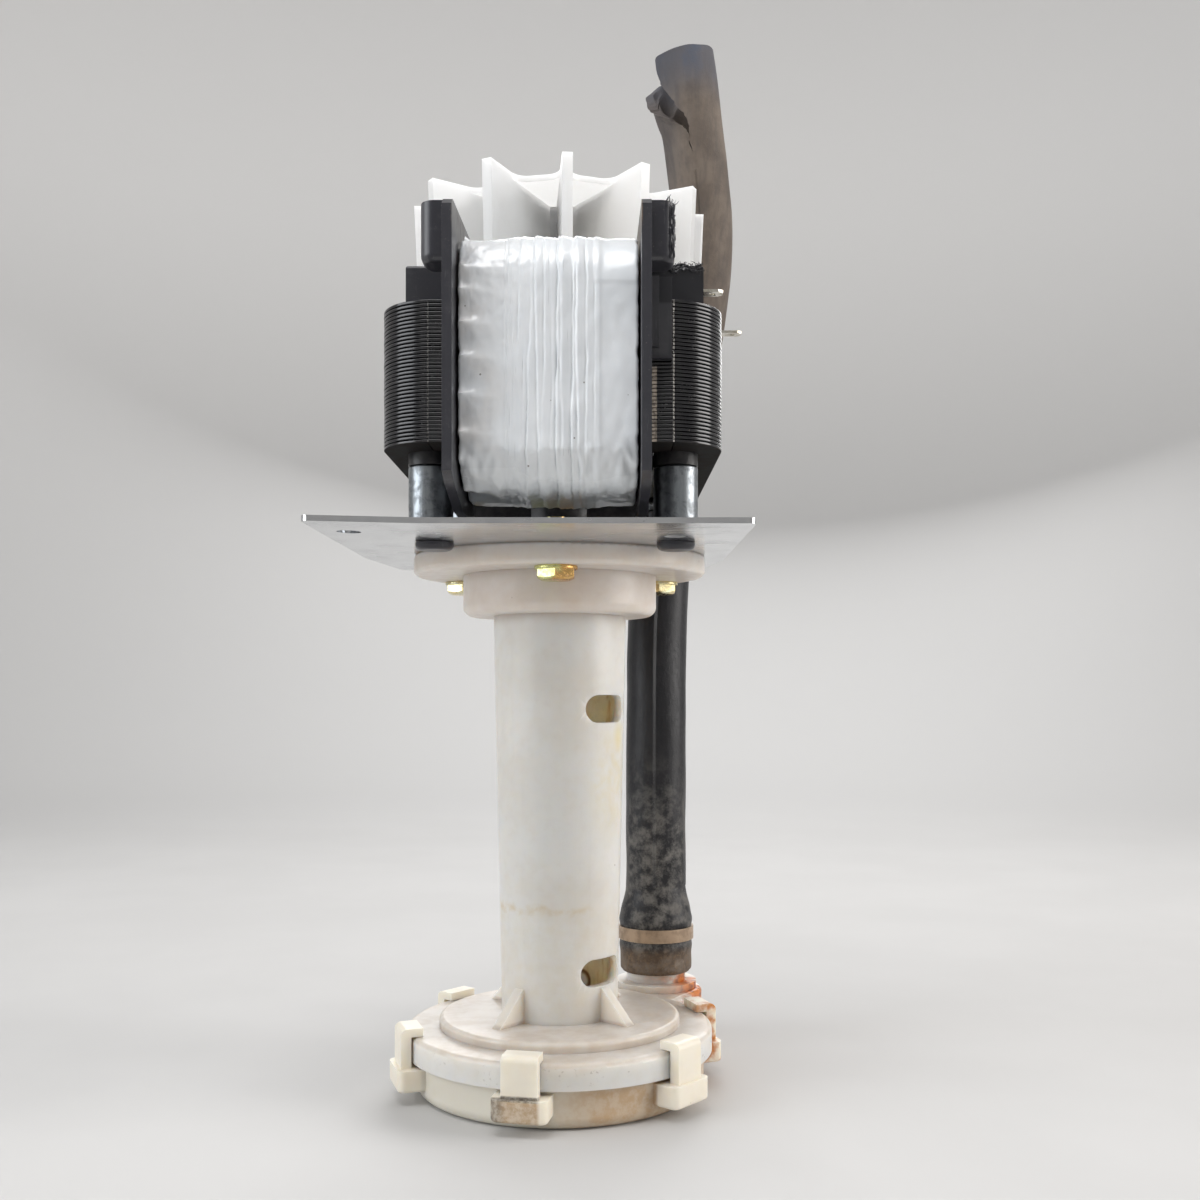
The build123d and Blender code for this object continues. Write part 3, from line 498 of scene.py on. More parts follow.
def film_tape():
    """Glossy white film, slightly blue, with pressure marks, painted shade in its creases, along thin lines
    in its middle and at its bottom, and a few specks.
    """
    look = Look("white film tape")
    tone = look.noise(7.0, detail=3.0, low=0.35, high=0.68)
    base = look.mix(tone, (0.84, 0.865, 0.89), (0.79, 0.82, 0.85))
    warm = look.times(look.fall(look.x, -13.0, -3.0), look.noise(6.0, low=0.40, high=0.7))
    base = look.over(base, warm, 0.5, (0.76, 0.73, 0.70))
    # Painted shade: the bottom of the tape is painted greenish grey.
    painted_low_shade = look.fall(look.z, 6.0, 14.0)
    base = look.over(base, painted_low_shade, 0.25, (0.66, 0.70, 0.69))
    # Painted shade: the creases, found by how sharply the surface turns, are painted dark grey.
    crease = look.fall(look.nodes.new("ShaderNodeNewGeometry").outputs["Pointiness"], 0.40, 0.485)
    base = look.over(base, crease, 0.55, (0.34, 0.36, 0.38))
    # Painted shade: thin dark crease lines painted down the middle of the tape.
    line = look.noise(0.16, detail=2.0, at=look.stretched(1.0, 0.03, 0.018), low=0.70, high=0.76)
    middle = look.times(look.band(look.x, -7.0, 8.0, 0.8), line)
    base = look.over(base, middle, 0.55, (0.24, 0.25, 0.28))
    speck = look.fall(look.cells(4.2), 0.035, 0.05)
    base = look.over(base, speck, 0.75, (0.16, 0.14, 0.12))
    look.set("Base Color", base)
    shine = look.between(tone, 0.17, 0.27)
    look.set("Roughness", look.math("ADD", shine, look.ramp(look.z, 4.0, 9.0, 0.22, 0.0)))
    look.set("Coat Weight", 0.25)
    look.set("Coat Roughness", 0.12)
    look.set("Subsurface Weight", 0.12)
    look.set("Subsurface Radius", (1.0, 0.9, 0.8))
    look.set("Subsurface Scale", 0.0012)
    look.bump(look.noise(1.6, detail=4.0, rough=0.5), 0.05, 0.5)
    return look.material


def milky_nylon():
    """Translucent milky nylon of the fan, clearer and greener at thin tips, greyer near its hub."""
    look = Look("milky nylon")
    cloud = look.noise(6.0, detail=3.0, low=0.35, high=0.7)
    base = look.mix(cloud, (0.99, 0.985, 0.965), (0.975, 0.965, 0.94))
    hub = look.fall(look.radius(), 6.0, 20.0)
    haze = look.times(hub, look.noise(2.5, detail=5.0, low=0.42, high=0.66))
    base = look.over(base, haze, 0.15, (0.88, 0.86, 0.84))
    yellow = look.times(look.ramp(look.z, 60.0, 54.0), look.noise(5.0, low=0.4, high=0.7))
    base = look.over(base, yellow, 0.35, (0.88, 0.88, 0.68))
    look.set("Base Color", base)
    look.set("Roughness", look.between(cloud, 0.36, 0.48))
    look.set("Subsurface Weight", 1.0)
    look.set("Subsurface Radius", (1.0, 0.97, 0.92))
    look.set("Subsurface Scale", 0.03)
    look.set("Transmission Weight", 0.2)
    look.bump(look.noise(2.0, detail=3.0), 0.04, 0.5)
    return look.material


def ivory_base(look):
    """Ivory nylon with soft tan clouds and hair-thin dirt specks."""
    cloud = look.noise(16.0, detail=3.0, low=0.34, high=0.70)
    base = look.mix(cloud, (0.76, 0.73, 0.69), (0.70, 0.655, 0.60))
    fine = look.noise(2.0, detail=5.0, rough=0.65, low=0.45, high=0.8)
    base = look.over(base, fine, 0.18, (0.62, 0.55, 0.47))
    speck = look.fall(look.cells(5.5), 0.020, 0.038)
    gate = look.noise(7.0, low=0.46, high=0.56)
    base = look.mix(look.times(speck, gate, 0.8), base, (0.16, 0.11, 0.07))
    return base


def ivory_nylon():
    """The column's nylon: satin ivory with water stains, a tide line, rust by the outlet, scuffs and darker
    tops; painted shade at its top under the plate, and its bore painted lighter with a painted glint inside.
    """
    look = Look("ivory nylon")
    base = ivory_base(look)
    uneven = look.noise(3.0, detail=4.0, rough=0.6, low=0.30, high=0.72)
    wobble = look.math("ADD", look.z, look.between(look.noise(5.0), -1.4, 1.4))
    tide = look.times(look.band(wobble, -72.6, -71.2, 0.7), look.fall(look.x, 3.0, 9.0), uneven)
    base = look.over(base, tide, 0.62, (0.60, 0.45, 0.24))
    below = look.times(look.band(wobble, -92.0, -72.0, 2.0), uneven)
    base = look.over(base, below, 0.22, (0.68, 0.58, 0.42))
    run = look.blob((11.0, -8.0, -46.0), 12.0, 1.0, (1.6, 1.0, 0.75))
    base = look.mix(look.times(run, uneven, 0.5), base, (0.72, 0.60, 0.32))
    drip = look.blob((12.4, -6.0, -37.0), 5.0, 1.0, (2.6, 1.0, 1.0))
    base = look.mix(look.times(drip, 0.6), base, (0.74, 0.60, 0.28))
    # Painted shade: the column's top, just under the plate, is painted darker.
    under = look.times(look.ramp(look.z, -15.0, -12.0), look.between(uneven, 0.7, 1.0))
    base = look.over(base, under, 0.45, (0.60, 0.50, 0.43))
    rusty = look.noise(5.0, detail=4.0, at=look.stretched(0.45, 1.0, 1.0), low=0.40, high=0.54)
    rust = look.times(look.blob((29.0, 37.0, -98.0), 17.0, 0.6, (1.0, 0.8, 1.0)), rusty)
    deep = look.noise(2.4, detail=4.0, low=0.46, high=0.66)
    base = look.mix(rust, base, look.mix(deep, (0.60, 0.19, 0.035), (0.25, 0.075, 0.03)))
    brown = look.blob((31.5, 21.0, -99.5), 8.0, 0.7)
    brown = look.times(brown, look.noise(2.6, detail=4.0, low=0.44, high=0.54))
    base = look.mix(look.times(brown, 0.9), base, (0.30, 0.09, 0.04))
    scuff = look.times(
        look.band(look.z, -101.6, -97.4, 0.4),
        look.noise(0.8, detail=5.0, low=0.58, high=0.70),
        look.noise(7.0, low=0.48, high=0.6),
    )
    base = look.over(base, scuff, 0.5, (0.33, 0.28, 0.22))
    inside = look.fall(look.radius(), 11.6, 12.0)
    bore = look.times(inside, look.band(look.z, -94.5, -12.5, 0.3))
    # Painted light: the bore's inside is painted a near-white tan, lighter than the outside, to lift the
    # shade inside it.
    base = look.mix(look.times(bore, look.between(uneven, 0.7, 1.0)), base, (0.98, 0.88, 0.77))
    drawn = look.stretched(1.0, 1.0, 0.5)
    stain = look.times(bore, look.noise(2.2, detail=5.0, at=drawn, low=0.50, high=0.66))
    base = look.over(base, stain, 0.35, (0.50, 0.31, 0.17))
    # Painted glint: a pale spot inside the bore, with a dark ring round it.
    painted_glint = look.times(look.blob((4.6, 9.9, -90.4), 2.3, 0.4), bore)
    ring = look.times(look.blob((4.6, 9.9, -90.4), 2.9, 0.2), bore)
    base = look.over(base, ring, 0.8, (0.16, 0.10, 0.06))
    base = look.mix(painted_glint, base, (0.96, 0.94, 0.90))
    radius = look.radius()
    # The tops of the lid and the plinth, away from the bore, are painted darker and mottled.
    tops = look.times(
        look.band(look.z, -97.6, -94.2, 0.3), look.ramp(radius, 11.6, 12.6), look.ramp(radius, 40.0, 31.0)
    )
    film = look.mix(look.noise(6.0, detail=4.0, low=0.35, high=0.7), (0.60, 0.55, 0.50), (0.50, 0.43, 0.36))
    base = look.over(base, tops, 0.75, film)
    look.set("Base Color", base)
    look.set("Roughness", look.between(uneven, 0.30, 0.44))
    look.set("Subsurface Weight", 0.85)
    look.set("Subsurface Radius", (1.0, 0.82, 0.62))
    look.set("Subsurface Scale", 0.0048)
    look.bump(look.noise(4.0, detail=3.0), 0.08, 0.4)
    look.bump(look.noise(0.5, detail=3.0), 0.012, 0.5)
    return look.material


def cream_nylon():
    """The bowl's nylon: yellower and more translucent, browner to the right and dirty at its feet, with a
    painted shadow line at the top of the front foot.
    """
    look = Look("cream nylon")
    cloud = look.noise(9.0, detail=4.0, low=0.34, high=0.70)
    base = look.mix(cloud, (0.86, 0.80, 0.69), (0.80, 0.73, 0.61))
    uneven = look.noise(2.6, detail=5.0, rough=0.65, low=0.32, high=0.70)
    radius = look.radius()
    wall = look.times(look.fall(radius, 30.4, 31.2), look.ramp(look.z, -101.0, -103.0))
    right = look.times(wall, look.ramp(look.x, -6.0, 10.0))
    base = look.over(base, wall, 0.55, (0.62, 0.60, 0.53))
    base = look.mix(look.times(right, look.between(uneven, 0.6, 1.0), 0.92), base, (0.52, 0.35, 0.20))
    foot = look.times(
        look.ramp(look.y, -31.4, -32.4),
        look.ramp(look.x, -2.4, -3.4),
        look.ramp(look.x, -14.0, -13.0),
        look.ramp(look.z, -102.1, -102.5),
    )
    uneven_dirt = look.ramp(look.noise(1.4, detail=5.0, rough=0.7), 0.35, 0.62, 0.6, 1.0)
    grime = look.mix(look.ramp(look.x, -11.2, -8.4), (0.12, 0.08, 0.05), (0.44, 0.30, 0.17))
    # Painted shadow: a dark line along the top of the foot, where the gap shades it.
    grime = look.mix(look.ramp(look.z, -103.2, -102.9), grime, (0.07, 0.05, 0.035))
    base = look.mix(look.times(foot, uneven_dirt, 0.9), base, grime)
    rusty = look.noise(4.0, detail=4.0, rough=0.55, low=0.38, high=0.60)
    rust = look.times(look.blob((33.0, 8.0, -101.0), 11.0, 0.5), rusty)
    rust_two = look.times(look.blob((30.0, 1.0, -105.5), 6.0, 0.6), rusty)
    base = look.mix(look.math("MAXIMUM", rust, rust_two), base, (0.55, 0.22, 0.06))
    speck = look.fall(look.cells(3.8), 0.03, 0.05)
    base = look.mix(look.times(speck, look.noise(6.0, low=0.48, high=0.56), 0.8), base, (0.14, 0.10, 0.07))
    look.set("Base Color", base)
    look.set("Roughness", look.between(uneven, 0.30, 0.46))
    look.set("Subsurface Weight", 0.5)
    look.set("Subsurface Radius", (1.0, 0.85, 0.6))
    look.set("Subsurface Scale", 0.0025)
    look.bump(look.noise(3.0, detail=3.0), 0.06, 0.4)
    return look.material


def hose_rubber():
    """Black rubber: chalky where it was wet, clean in the middle, brown-grey dust and scuffs above, and a
    painted shadow of the motor on its left side up high.
    """
    look = Look("hose rubber")
    cloud = look.noise(7.0, detail=4.0, rough=0.6, low=0.34, high=0.70)
    fine = look.noise(0.9, detail=5.0, rough=0.7, low=0.42, high=0.72)
    long = look.noise(1.6, detail=4.0, at=look.stretched(1.0, 1.0, 0.16), low=0.40, high=0.72)
    clean_part = look.over((0.012, 0.012, 0.014), cloud, 0.5, (0.024, 0.023, 0.026))
    dusty = look.mix(cloud, (0.125, 0.100, 0.082), (0.185, 0.150, 0.122))
    dusty = look.over(dusty, long, 0.45, (0.085, 0.075, 0.070))
    dust = look.ramp(look.math("ADD", look.z, look.between(cloud, -12.0, 12.0)), 6.0, 44.0)
    base = look.mix(dust, clean_part, dusty)
    end = look.times(look.ramp(look.z, 104.0, 115.0), look.between(cloud, 0.6, 1.0))
    base = look.mix(end, base, (0.085, 0.095, 0.125))
    # Painted shadow: the hose's left side up high, next to the motor, is painted darker as the motor's
    # shadow.
    left = look.times(look.ramp(look.z, 50.0, 80.0), look.ramp(look.x, 28.0, 23.5), 0.5)
    base = look.mix(left, base, (0.060, 0.060, 0.068))
    chalk = look.ramp(look.z, -38.0, -66.0)
    chalk = look.times(chalk, look.noise(3.2, detail=6.0, rough=0.7, low=0.40, high=0.66))
    base = look.over(base, chalk, 0.75, (0.20, 0.19, 0.175))
    cuff = look.times(look.ramp(look.z, -86.0, -89.0), look.between(fine, 0.45, 0.9))
    base = look.mix(cuff, base, (0.195, 0.130, 0.080))
    crust = look.times(look.ramp(look.z, -84.0, -90.0), look.noise(3.4, detail=4.0, low=0.54, high=0.72))
    base = look.over(base, crust, 0.45, (0.36, 0.30, 0.24))
    look.set("Base Color", base)
    rough = look.math("MAXIMUM", look.math("MAXIMUM", dust, chalk), cuff)
    look.set("Roughness", look.between(rough, 0.36, 0.72))
    look.set("Specular IOR Level", 0.3)
    look.bump(fine, 0.05, 0.6)
    look.bump(long, 0.05, 0.4)
    return look.material


def tarnished_band():
    """Bronze-brown steel band, rubbed bright at its sharp edges."""
    look = Look("tarnished band", metallic=0.25)
    patch = look.noise(1.8, detail=5.0, low=0.38, high=0.68)
    base = look.mix(patch, (0.36, 0.25, 0.165), (0.22, 0.145, 0.09))
    look.set("Base Color", look.mix(look.worn(low=0.52, high=0.6), base, (0.50, 0.40, 0.29)))
    look.set("Roughness", look.between(patch, 0.34, 0.52))
    look.bump(look.noise(0.5, detail=3.0), 0.02, 0.6)
    return look.material


def metal(name, light, dark, rough=(0.25, 0.42), size=1.5, grain=(1.0, 1.0, 1.0), relief=0.015):
    """A plain metal whose tone and gloss drift, with a grain along one axis if it has one."""
    look = Look(name, metallic=1.0)
    drift = look.noise(size, detail=5.0, at=look.stretched(*grain), low=0.36, high=0.70)
    look.set("Base Color", look.mix(drift, light, dark))
    look.set("Roughness", look.ramp(drift, 0.0, 1.0, *rough))
    look.bump(look.noise(size * 0.3, detail=3.0, at=look.stretched(*grain)), relief, 0.7)
    return look.material


def soft(name, light, dark, rough=(0.5, 0.7), size=1.0, relief=0.04):
    """A plain non-metal with drifting tone and a fine relief."""
    look = Look(name)
    drift = look.noise(size, detail=5.0, low=0.36, high=0.70)
    look.set("Base Color", look.mix(drift, light, dark))
    look.set("Roughness", look.ramp(drift, 0.0, 1.0, *rough))
    look.bump(look.noise(size * 0.4, detail=4.0), relief, 0.7)
    return look.material


# ---------------------------------------------------------------- camera, floor and light
def make_camera():
    """The viewpoint in front of the coil, a little below the plate, with the frame moved up."""
    data = bpy.data.cameras.new("camera")
    data.sensor_width = 36.0
    data.lens = 38.7
    data.shift_y = 0.0767
    data.clip_start = 0.01
    data.clip_end = 20.0
    camera = bpy.data.objects.new("camera", data)
    camera.location = Vector((8.4, -270.0, -28.0)) * MM
    camera.rotation_euler = (math.radians(90.0), 0.0, 0.0)
    bpy.context.scene.collection.objects.link(camera)
    bpy.context.scene.camera = camera


def make_floor(level):
    """A pale dish: flat under the object and curving up far from it."""
    look = Look("pale floor", roughness=0.75)
    tone = look.noise(60.0, detail=3.0, low=0.3, high=0.7)
    base = look.mix(tone, (0.56, 0.555, 0.55), (0.54, 0.535, 0.53))
    radius = look.radius()
    base = look.mix(look.ramp(radius, 250.0, 800.0), base, (0.42, 0.417, 0.414))
    base = look.mix(look.ramp(look.z, -60.0, 700.0), base, (0.62, 0.615, 0.61))
    look.set("Base Color", base)
    flat, bend, wall, turns = 750.0, 700.0, 1500.0, 96
    rings = [(0.5, 0.0)] + [(flat * i / 6, 0.0) for i in range(1, 7)]
    for step in range(1, 25):
        angle = math.radians(90.0 * step / 24)
        rings.append((flat + bend * math.sin(angle), bend * (1 - math.cos(angle))))
    rings.append((flat + bend, bend + wall))
    angles = np.linspace(0, 2 * math.pi, turns, endpoint=False)
    points = [(r * math.cos(a), r * math.sin(a), level + z) for r, z in rings for a in angles]
    faces = grid_faces(len(rings), turns, wrap=True) + [list(range(turns))[::-1]]
    floor = bpy.data.objects.new("floor", shade(mesh_from("floor", points, faces)))
    floor.data.materials.append(look.material)
    bpy.context.scene.collection.objects.link(floor)


def area_light(name, place, target, size, power, colour=(1.0, 1.0, 1.0)):
    """A soft square lamp at a place in millimetres that looks at a target."""
    data = bpy.data.lights.new(name, "AREA")
    data.shape = "RECTANGLE"
    data.size, data.size_y = size[0] * MM, size[1] * MM
    data.energy = power
    data.color = colour
    lamp = bpy.data.objects.new(name, data)
    lamp.location = Vector(place) * MM
    lamp.rotation_euler = (Vector(target) - Vector(place)).to_track_quat("-Z", "Y").to_euler()
    lamp.visible_camera = False
    bpy.context.scene.collection.objects.link(lamp)


def make_lights():
    """A broad lamp low on each side, lamps above, behind and on the wall, in a dim warm world."""
    area_light("left lamp", (-960, -400, 320), (0, 0, -20), (760, 900), 7.4, (0.93, 0.965, 1.0))
    area_light("right lamp", (1000, -130, 300), (0, 0, -20), (620, 900), 9.2, (1.0, 0.975, 0.95))
    area_light("top lamp", (0, -350, 1100), (0, 0, 20), (900, 700), 1.8)
    area_light("near lamp", (-60, -190, 360), (0, -30, 50), (260, 200), 0.8)
    area_light("back lamp", (120, 1050, 620), (0, 0, 20), (900, 700), 8.0)
    area_light("wall lamp", (0, 420, 700), (0, 1450, 760), (1500, 500), 4.5)
    world = bpy.data.worlds.new("pale room")
    world.use_nodes = True
    background = world.node_tree.nodes["Background"]
    background.inputs["Color"].default_value = (1.0, 0.955, 0.90, 1.0)
    background.inputs["Strength"].default_value = 0.24
    bpy.context.scene.world = world
    bpy.context.scene.view_settings.view_transform = "Standard"


make_camera()
make_floor(CAD_BOX[0].z / MM)
make_lights()


# ---------------------------------------------------------------- hose
def route_line(route):
    """Points and directions along the route's smooth line, in millimetres."""
    data = bpy.data.curves.new("hose line", "CURVE")
    data.dimensions = "3D"
    data.resolution_u = 48
    spline = data.splines.new("NURBS")
    spline.points.add(len(route) - 1)
    for point, place in zip(spline.points, route):
        point.co = (*(Vector(place) * MM), 1.0)
    spline.order_u = 3
    spline.use_endpoint_u = True
    line = bpy.data.objects.new("hose line", data)
    mesh = bpy.data.meshes.new_from_object(line)
    points = np.array([v.co[:] for v in mesh.vertices]) / MM
    bpy.data.objects.remove(line)
    return points


def swept_frames(points):
    """Directions along a line, and two side directions that don't twist; the first looks to the front."""
    along = np.gradient(points, axis=0)
    along /= np.linalg.norm(along, axis=1)[:, None]
    side = np.array([0.0, -1.0, 0.0])
    fronts = []
    for direction in along:
        side = side - direction * side.dot(direction)
        side /= np.linalg.norm(side)
        fronts.append(side)
    fronts = np.array(fronts)
    rights = np.cross(along, fronts)
    return along, fronts, rights


TEAR_LENGTH = 20.0
TEAR_GAP = 30.0
HOSE_TURNS = 84
CUFF_TURNS = 96
CUFF_BORE_R = 6.85


def tear_angle(back):
    """Angle of the tear round the hose (0 is the front, 90 is +X) at a distance from its end."""
    t = back / TEAR_LENGTH
    path = -100.0 + 94.0 * ease(t, 0.0, 0.93) ** 0.85 - 5.0 * bell(t, 0.96, 0.10)
    return path + 4.0 * wave(back * 0.9, 3.1) * (t < 1.0)


def hose_rings(points):
    """Outer and inner points of the free hose; its end is torn open along a ragged tear."""
    run = np.concatenate([[0.0], np.cumsum(np.linalg.norm(np.diff(points, axis=0), axis=1))])
    back = run[-1] - run
    along, fronts, rights = swept_frames(points)
    share = np.linspace(0.0, 1.0, HOSE_TURNS + 1)
    rings = []
    for radius in (HOSE_R, HOSE_BORE_R):
        layer = []
        for i, centre in enumerate(points):
            open_part = np.clip(1.0 - back[i] / TEAR_LENGTH, 0.0, 1.0)
            gap = TEAR_GAP * open_part**1.5
            start = tear_angle(back[i])
            angle = np.radians(start + gap * 0.5 + share * (360.0 - gap))
            flap = ease(share, 0.66, 0.97) * open_part**1.6
            lift = 3.6 * flap
            curl = 0.7 * (1.0 - ease(share, 0.0, 0.2)) * open_part**1.3
            waviness = 0.10 * wave(np.cos(angle) * 1.2, np.sin(angle) * 1.2, run[i] * 0.10)
            r = radius + lift - curl + waviness
            cut_back = 5.6 * ease(share, 0.70, 0.84) - 2.6 * bell(share, 0.925, 0.035)
            cut_back = cut_back + 0.5 * wave(share * 21.0, 7.7) * ease(share, 0.66, 0.74)
            slide = -cut_back * ease(back[i], 26.0, 0.0) + 0.25 * wave(share * 9.0, 1.3) * (back[i] < 1e-6)
            ring = centre + np.outer(np.sin(angle) * r, rights[i]) + np.outer(np.cos(angle) * r, fronts[i])
            layer.append(ring + np.outer(slide, along[i]))
        rings.append(np.array(layer))
    return rings


def tube_wall(outer, inner):
    """Points and faces of a wall between two grids that share their rim rows; seams merge later."""
    rows, columns = outer.shape[:2]
    end_a = [(outer[0] * 0.5 + inner[0] * 0.5)]
    end_b = (outer[-1] * 0.5 + inner[-1] * 0.5) + (outer[-1] - outer[-2]) * 0.35
    loop = np.concatenate([outer, [end_b], inner[::-1], end_a])
    points = loop.reshape(-1, 3)
    faces = grid_faces(len(loop), columns)
    last = (len(loop) - 1) * columns
    for c in range(columns - 1):
        faces.append([last + c, last + c + 1, c + 1, c])
    return points, faces, rows, columns


def close_tear(faces, rows, columns):
    """Side walls of the tear, between the outer and the inner wall."""
    loop_rows = 2 * rows + 2
    for c, turn in ((0, 1), (columns - 1, -1)):
        column = [r * columns + c for r in range(loop_rows)]
        for r in range(rows - 1):
            quad = [column[r], column[r + 1], column[2 * rows - 1 - r], column[2 * rows - r]]
            faces.append(quad[::turn])
        tip = [column[rows - 1], column[rows], column[rows + 1]]
        faces.append(tip[::turn])
        foot = [column[0], column[2 * rows], column[2 * rows + 1]]
        faces.append(foot[::turn])
    return faces


def make_hose():
    """The free stretch of the hose, with its cuff and clamp."""
    points = route_line(HOSE_ROUTE)
    outer, inner = hose_rings(points)
    wall, faces, rows, columns = tube_wall(outer, inner)
    mesh = mesh_from("rubber_hose", wall, close_tear(faces, rows, columns))
    bm = bmesh.new()
    bm.from_mesh(mesh)
    bmesh.ops.remove_doubles(bm, verts=bm.verts, dist=1e-6)
    twins = {}
    for face in bm.faces:
        twins.setdefault(frozenset(v.index for v in face.verts), []).append(face)
    inside = [f for same in twins.values() if len(same) > 1 for f in same]
    bmesh.ops.delete(bm, geom=inside, context="FACES_ONLY")
    bmesh.ops.recalc_face_normals(bm, faces=bm.faces)
    bm.to_mesh(mesh)
    bm.free()
    rubber = hose_rubber()
    hose = piece("rubber_hose", shade(mesh, 50.0), rubber, "hose")
    cuff = make_cuff(rubber)
    clamp = refined("hose_clamp", tarnished_band(), bevel=0.12)


def make_cuff(rubber):
    """The end of the hose stretched over the spigot: it swells beside the clamp and necks down above."""
    low, high = span("hose_cuff")
    band_low, band_high = span("hose_clamp")
    band_z = (band_low[2] + band_high[2]) / 2
    centre = np.array([HOSE_ROUTE[0][0], HOSE_ROUTE[0][1]])
    full = (high[0] - low[0]) / 2
    heights = np.linspace(low[2], HOSE_ROUTE[0][2], 72)
    neck = ease(heights, HOSE_ROUTE[0][2] - 7.5, HOSE_ROUTE[0][2])
    profile = full + (HOSE_R - full) * neck
    profile += 0.22 * bell(heights, band_z + 3.0, 1.2) + 0.22 * bell(heights, band_z - 3.0, 1.2)
    profile -= 0.10 * bell(heights, band_z, 1.6)
    profile -= 0.5 * (1.0 - ease(heights, low[2], low[2] + 0.7))
    angles = np.linspace(0, 2 * math.pi, CUFF_TURNS, endpoint=False)
    outer = [
        [(centre[0] + (r + 0.08 * w) * math.sin(a), centre[1] - (r + 0.08 * w) * math.cos(a), z)
         for a, w in zip(angles, wave(np.cos(angles) * 1.3, np.sin(angles) * 1.3, z * 0.35))]
        for r, z in zip(profile, heights)
    ]
    bores = [
        (CUFF_BORE_R + 0.4, heights[0]),
        (CUFF_BORE_R, heights[0] + 0.5),
        (CUFF_BORE_R, heights[-1] - 2.0),
        (HOSE_BORE_R, heights[-1]),
    ]
    inner = [
        [(centre[0] + r * math.sin(a), centre[1] - r * math.cos(a), z) for a in angles] for r, z in bores
    ]
    loop = outer + inner[::-1]
    points = np.array(loop).reshape(-1, 3)
    faces = grid_faces(len(loop), CUFF_TURNS, wrap=True)
    last = (len(loop) - 1) * CUFF_TURNS
    for c in range(CUFF_TURNS):
        d = (c + 1) % CUFF_TURNS
        faces.append([last + c, last + d, d, c])
    mesh = shade(clean(mesh_from("hose_cuff_rubber", points, faces)), 50.0)
    return piece("hose_cuff_rubber", mesh, rubber, "hose_cuff")


make_hose()


# ---------------------------------------------------------------- stack of punched sheets
SHEETS = 37
SHEET_GAP = 0.14
SHEET_EDGE = 0.15


def prism_mesh(node):
    """Points and flat faces of a node's plain prism, from the frame."""
    source = frame["nodes"][node].data
    bm = bmesh.new()
    verts = [bm.verts.new(v.co / MM) for v in source.vertices]
    for polygon in source.polygons:
        bm.faces.new([verts[i] for i in polygon.vertices])
    bmesh.ops.remove_doubles(bm, verts=bm.verts, dist=1e-3)
    bmesh.ops.dissolve_limit(bm, angle_limit=NEARLY_FLAT, verts=bm.verts, edges=bm.edges)
    return bm


def sheet_stack(name, node, material, seed):
    """A node's prism as thin punched sheets with eased edges, each a hair out of line."""
    low, high = span(node)
    pitch = (high[2] - low[2] + SHEET_GAP) / SHEETS
    flat = prism_mesh(node)
    middle = (low[2] + high[2]) / 2
    for vert in flat.verts:
        vert.co.z = (pitch - SHEET_GAP) * (vert.co.z > middle)
    corners = [e for e in flat.edges if e.is_manifold and e.calc_face_angle() > math.radians(60)]
    rims = [e for e in corners if abs(e.verts[0].co.z - e.verts[1].co.z) < 1e-6]
    round_edges(flat, rims, SHEET_EDGE, 3)
    flat.verts.index_update()
    points = np.array([v.co[:] for v in flat.verts])
    faces = [[v.index for v in f.verts] for f in flat.faces]
    flat.free()
    rng = np.random.default_rng(seed)
    parts = []
    for i in range(SHEETS):
        shift = np.array([*rng.uniform(-0.03, 0.03, 2), low[2] + i * pitch])
        size = np.array([1.0 + rng.uniform(-0.0009, 0.0009), 1.0 + rng.uniform(-0.0006, 0.0006), 1.0])
        parts.append((points * size + shift, faces))
    mesh = shade(join_meshes(name, parts), 50.0)
    obj = piece(name, mesh, [material, matt_underside()], node)
    for polygon in mesh.polygons:
        if polygon.normal.z < -0.5 and polygon.center.z / MM < low[2] + SHEET_GAP:
            polygon.material_index = 1
    obj.modifiers.new("even flats", "WEIGHTED_NORMAL").keep_sharp = True
    return obj


# ---------------------------------------------------------------- taped coil
TAPE_CREASES = [
    # place across the coil, lean, depth, width, lower end, upper end
    (-6.6, 0.10, 0.16, 0.16, 9.0, 47.0),
    (-5.9, -0.15, 0.12, 0.14, 14.0, 44.0),
    (-4.9, 0.20, 0.18, 0.18, 27.0, 60.0),
    (-4.2, -0.10, 0.14, 0.15, 8.0, 30.0),
    (-3.1, 0.75, 0.34, 0.18, 2.0, 36.0),
    (-2.0, -0.35, 0.34, 0.20, 0.0, 44.0),
    (-0.8, 0.10, 0.22, 0.17, 20.0, 60.0),
    (0.6, 0.05, 0.14, 0.15, 12.0, 34.0),
    (1.35, 0.12, 0.50, 0.18, -8.0, 60.0),
    (2.0, -0.10, 0.22, 0.22, 10.0, 54.0),
    (3.9, 0.22, 0.38, 0.17, -8.0, 42.0),
    (4.6, -0.30, 0.30, 0.20, -6.0, 48.0),
    (6.1, 0.12, 0.20, 0.17, 0.0, 60.0),
    (7.5, 0.05, 0.12, 0.15, 16.0, 42.0),
]
TAPE_PINCHES = [-9.0, 1.0, 9.6, 14.2, 20.4, 26.6, 32.0, 37.4, 41.4, 48.0, 57.0, 66.0]
# place across the coil and height of each gather
TAPE_GATHERS = [
    (-12.4, 0.7), (-8.6, 1.3), (-4.6, 0.8), (-0.6, 1.0), (2.8, 1.1), (5.4, 0.6), (8.2, 0.8), (12.0, 1.0),
]
TAPE_CREST = 10.2
TAPE_STEP = 0.36
TAPE_THICK = 1.5


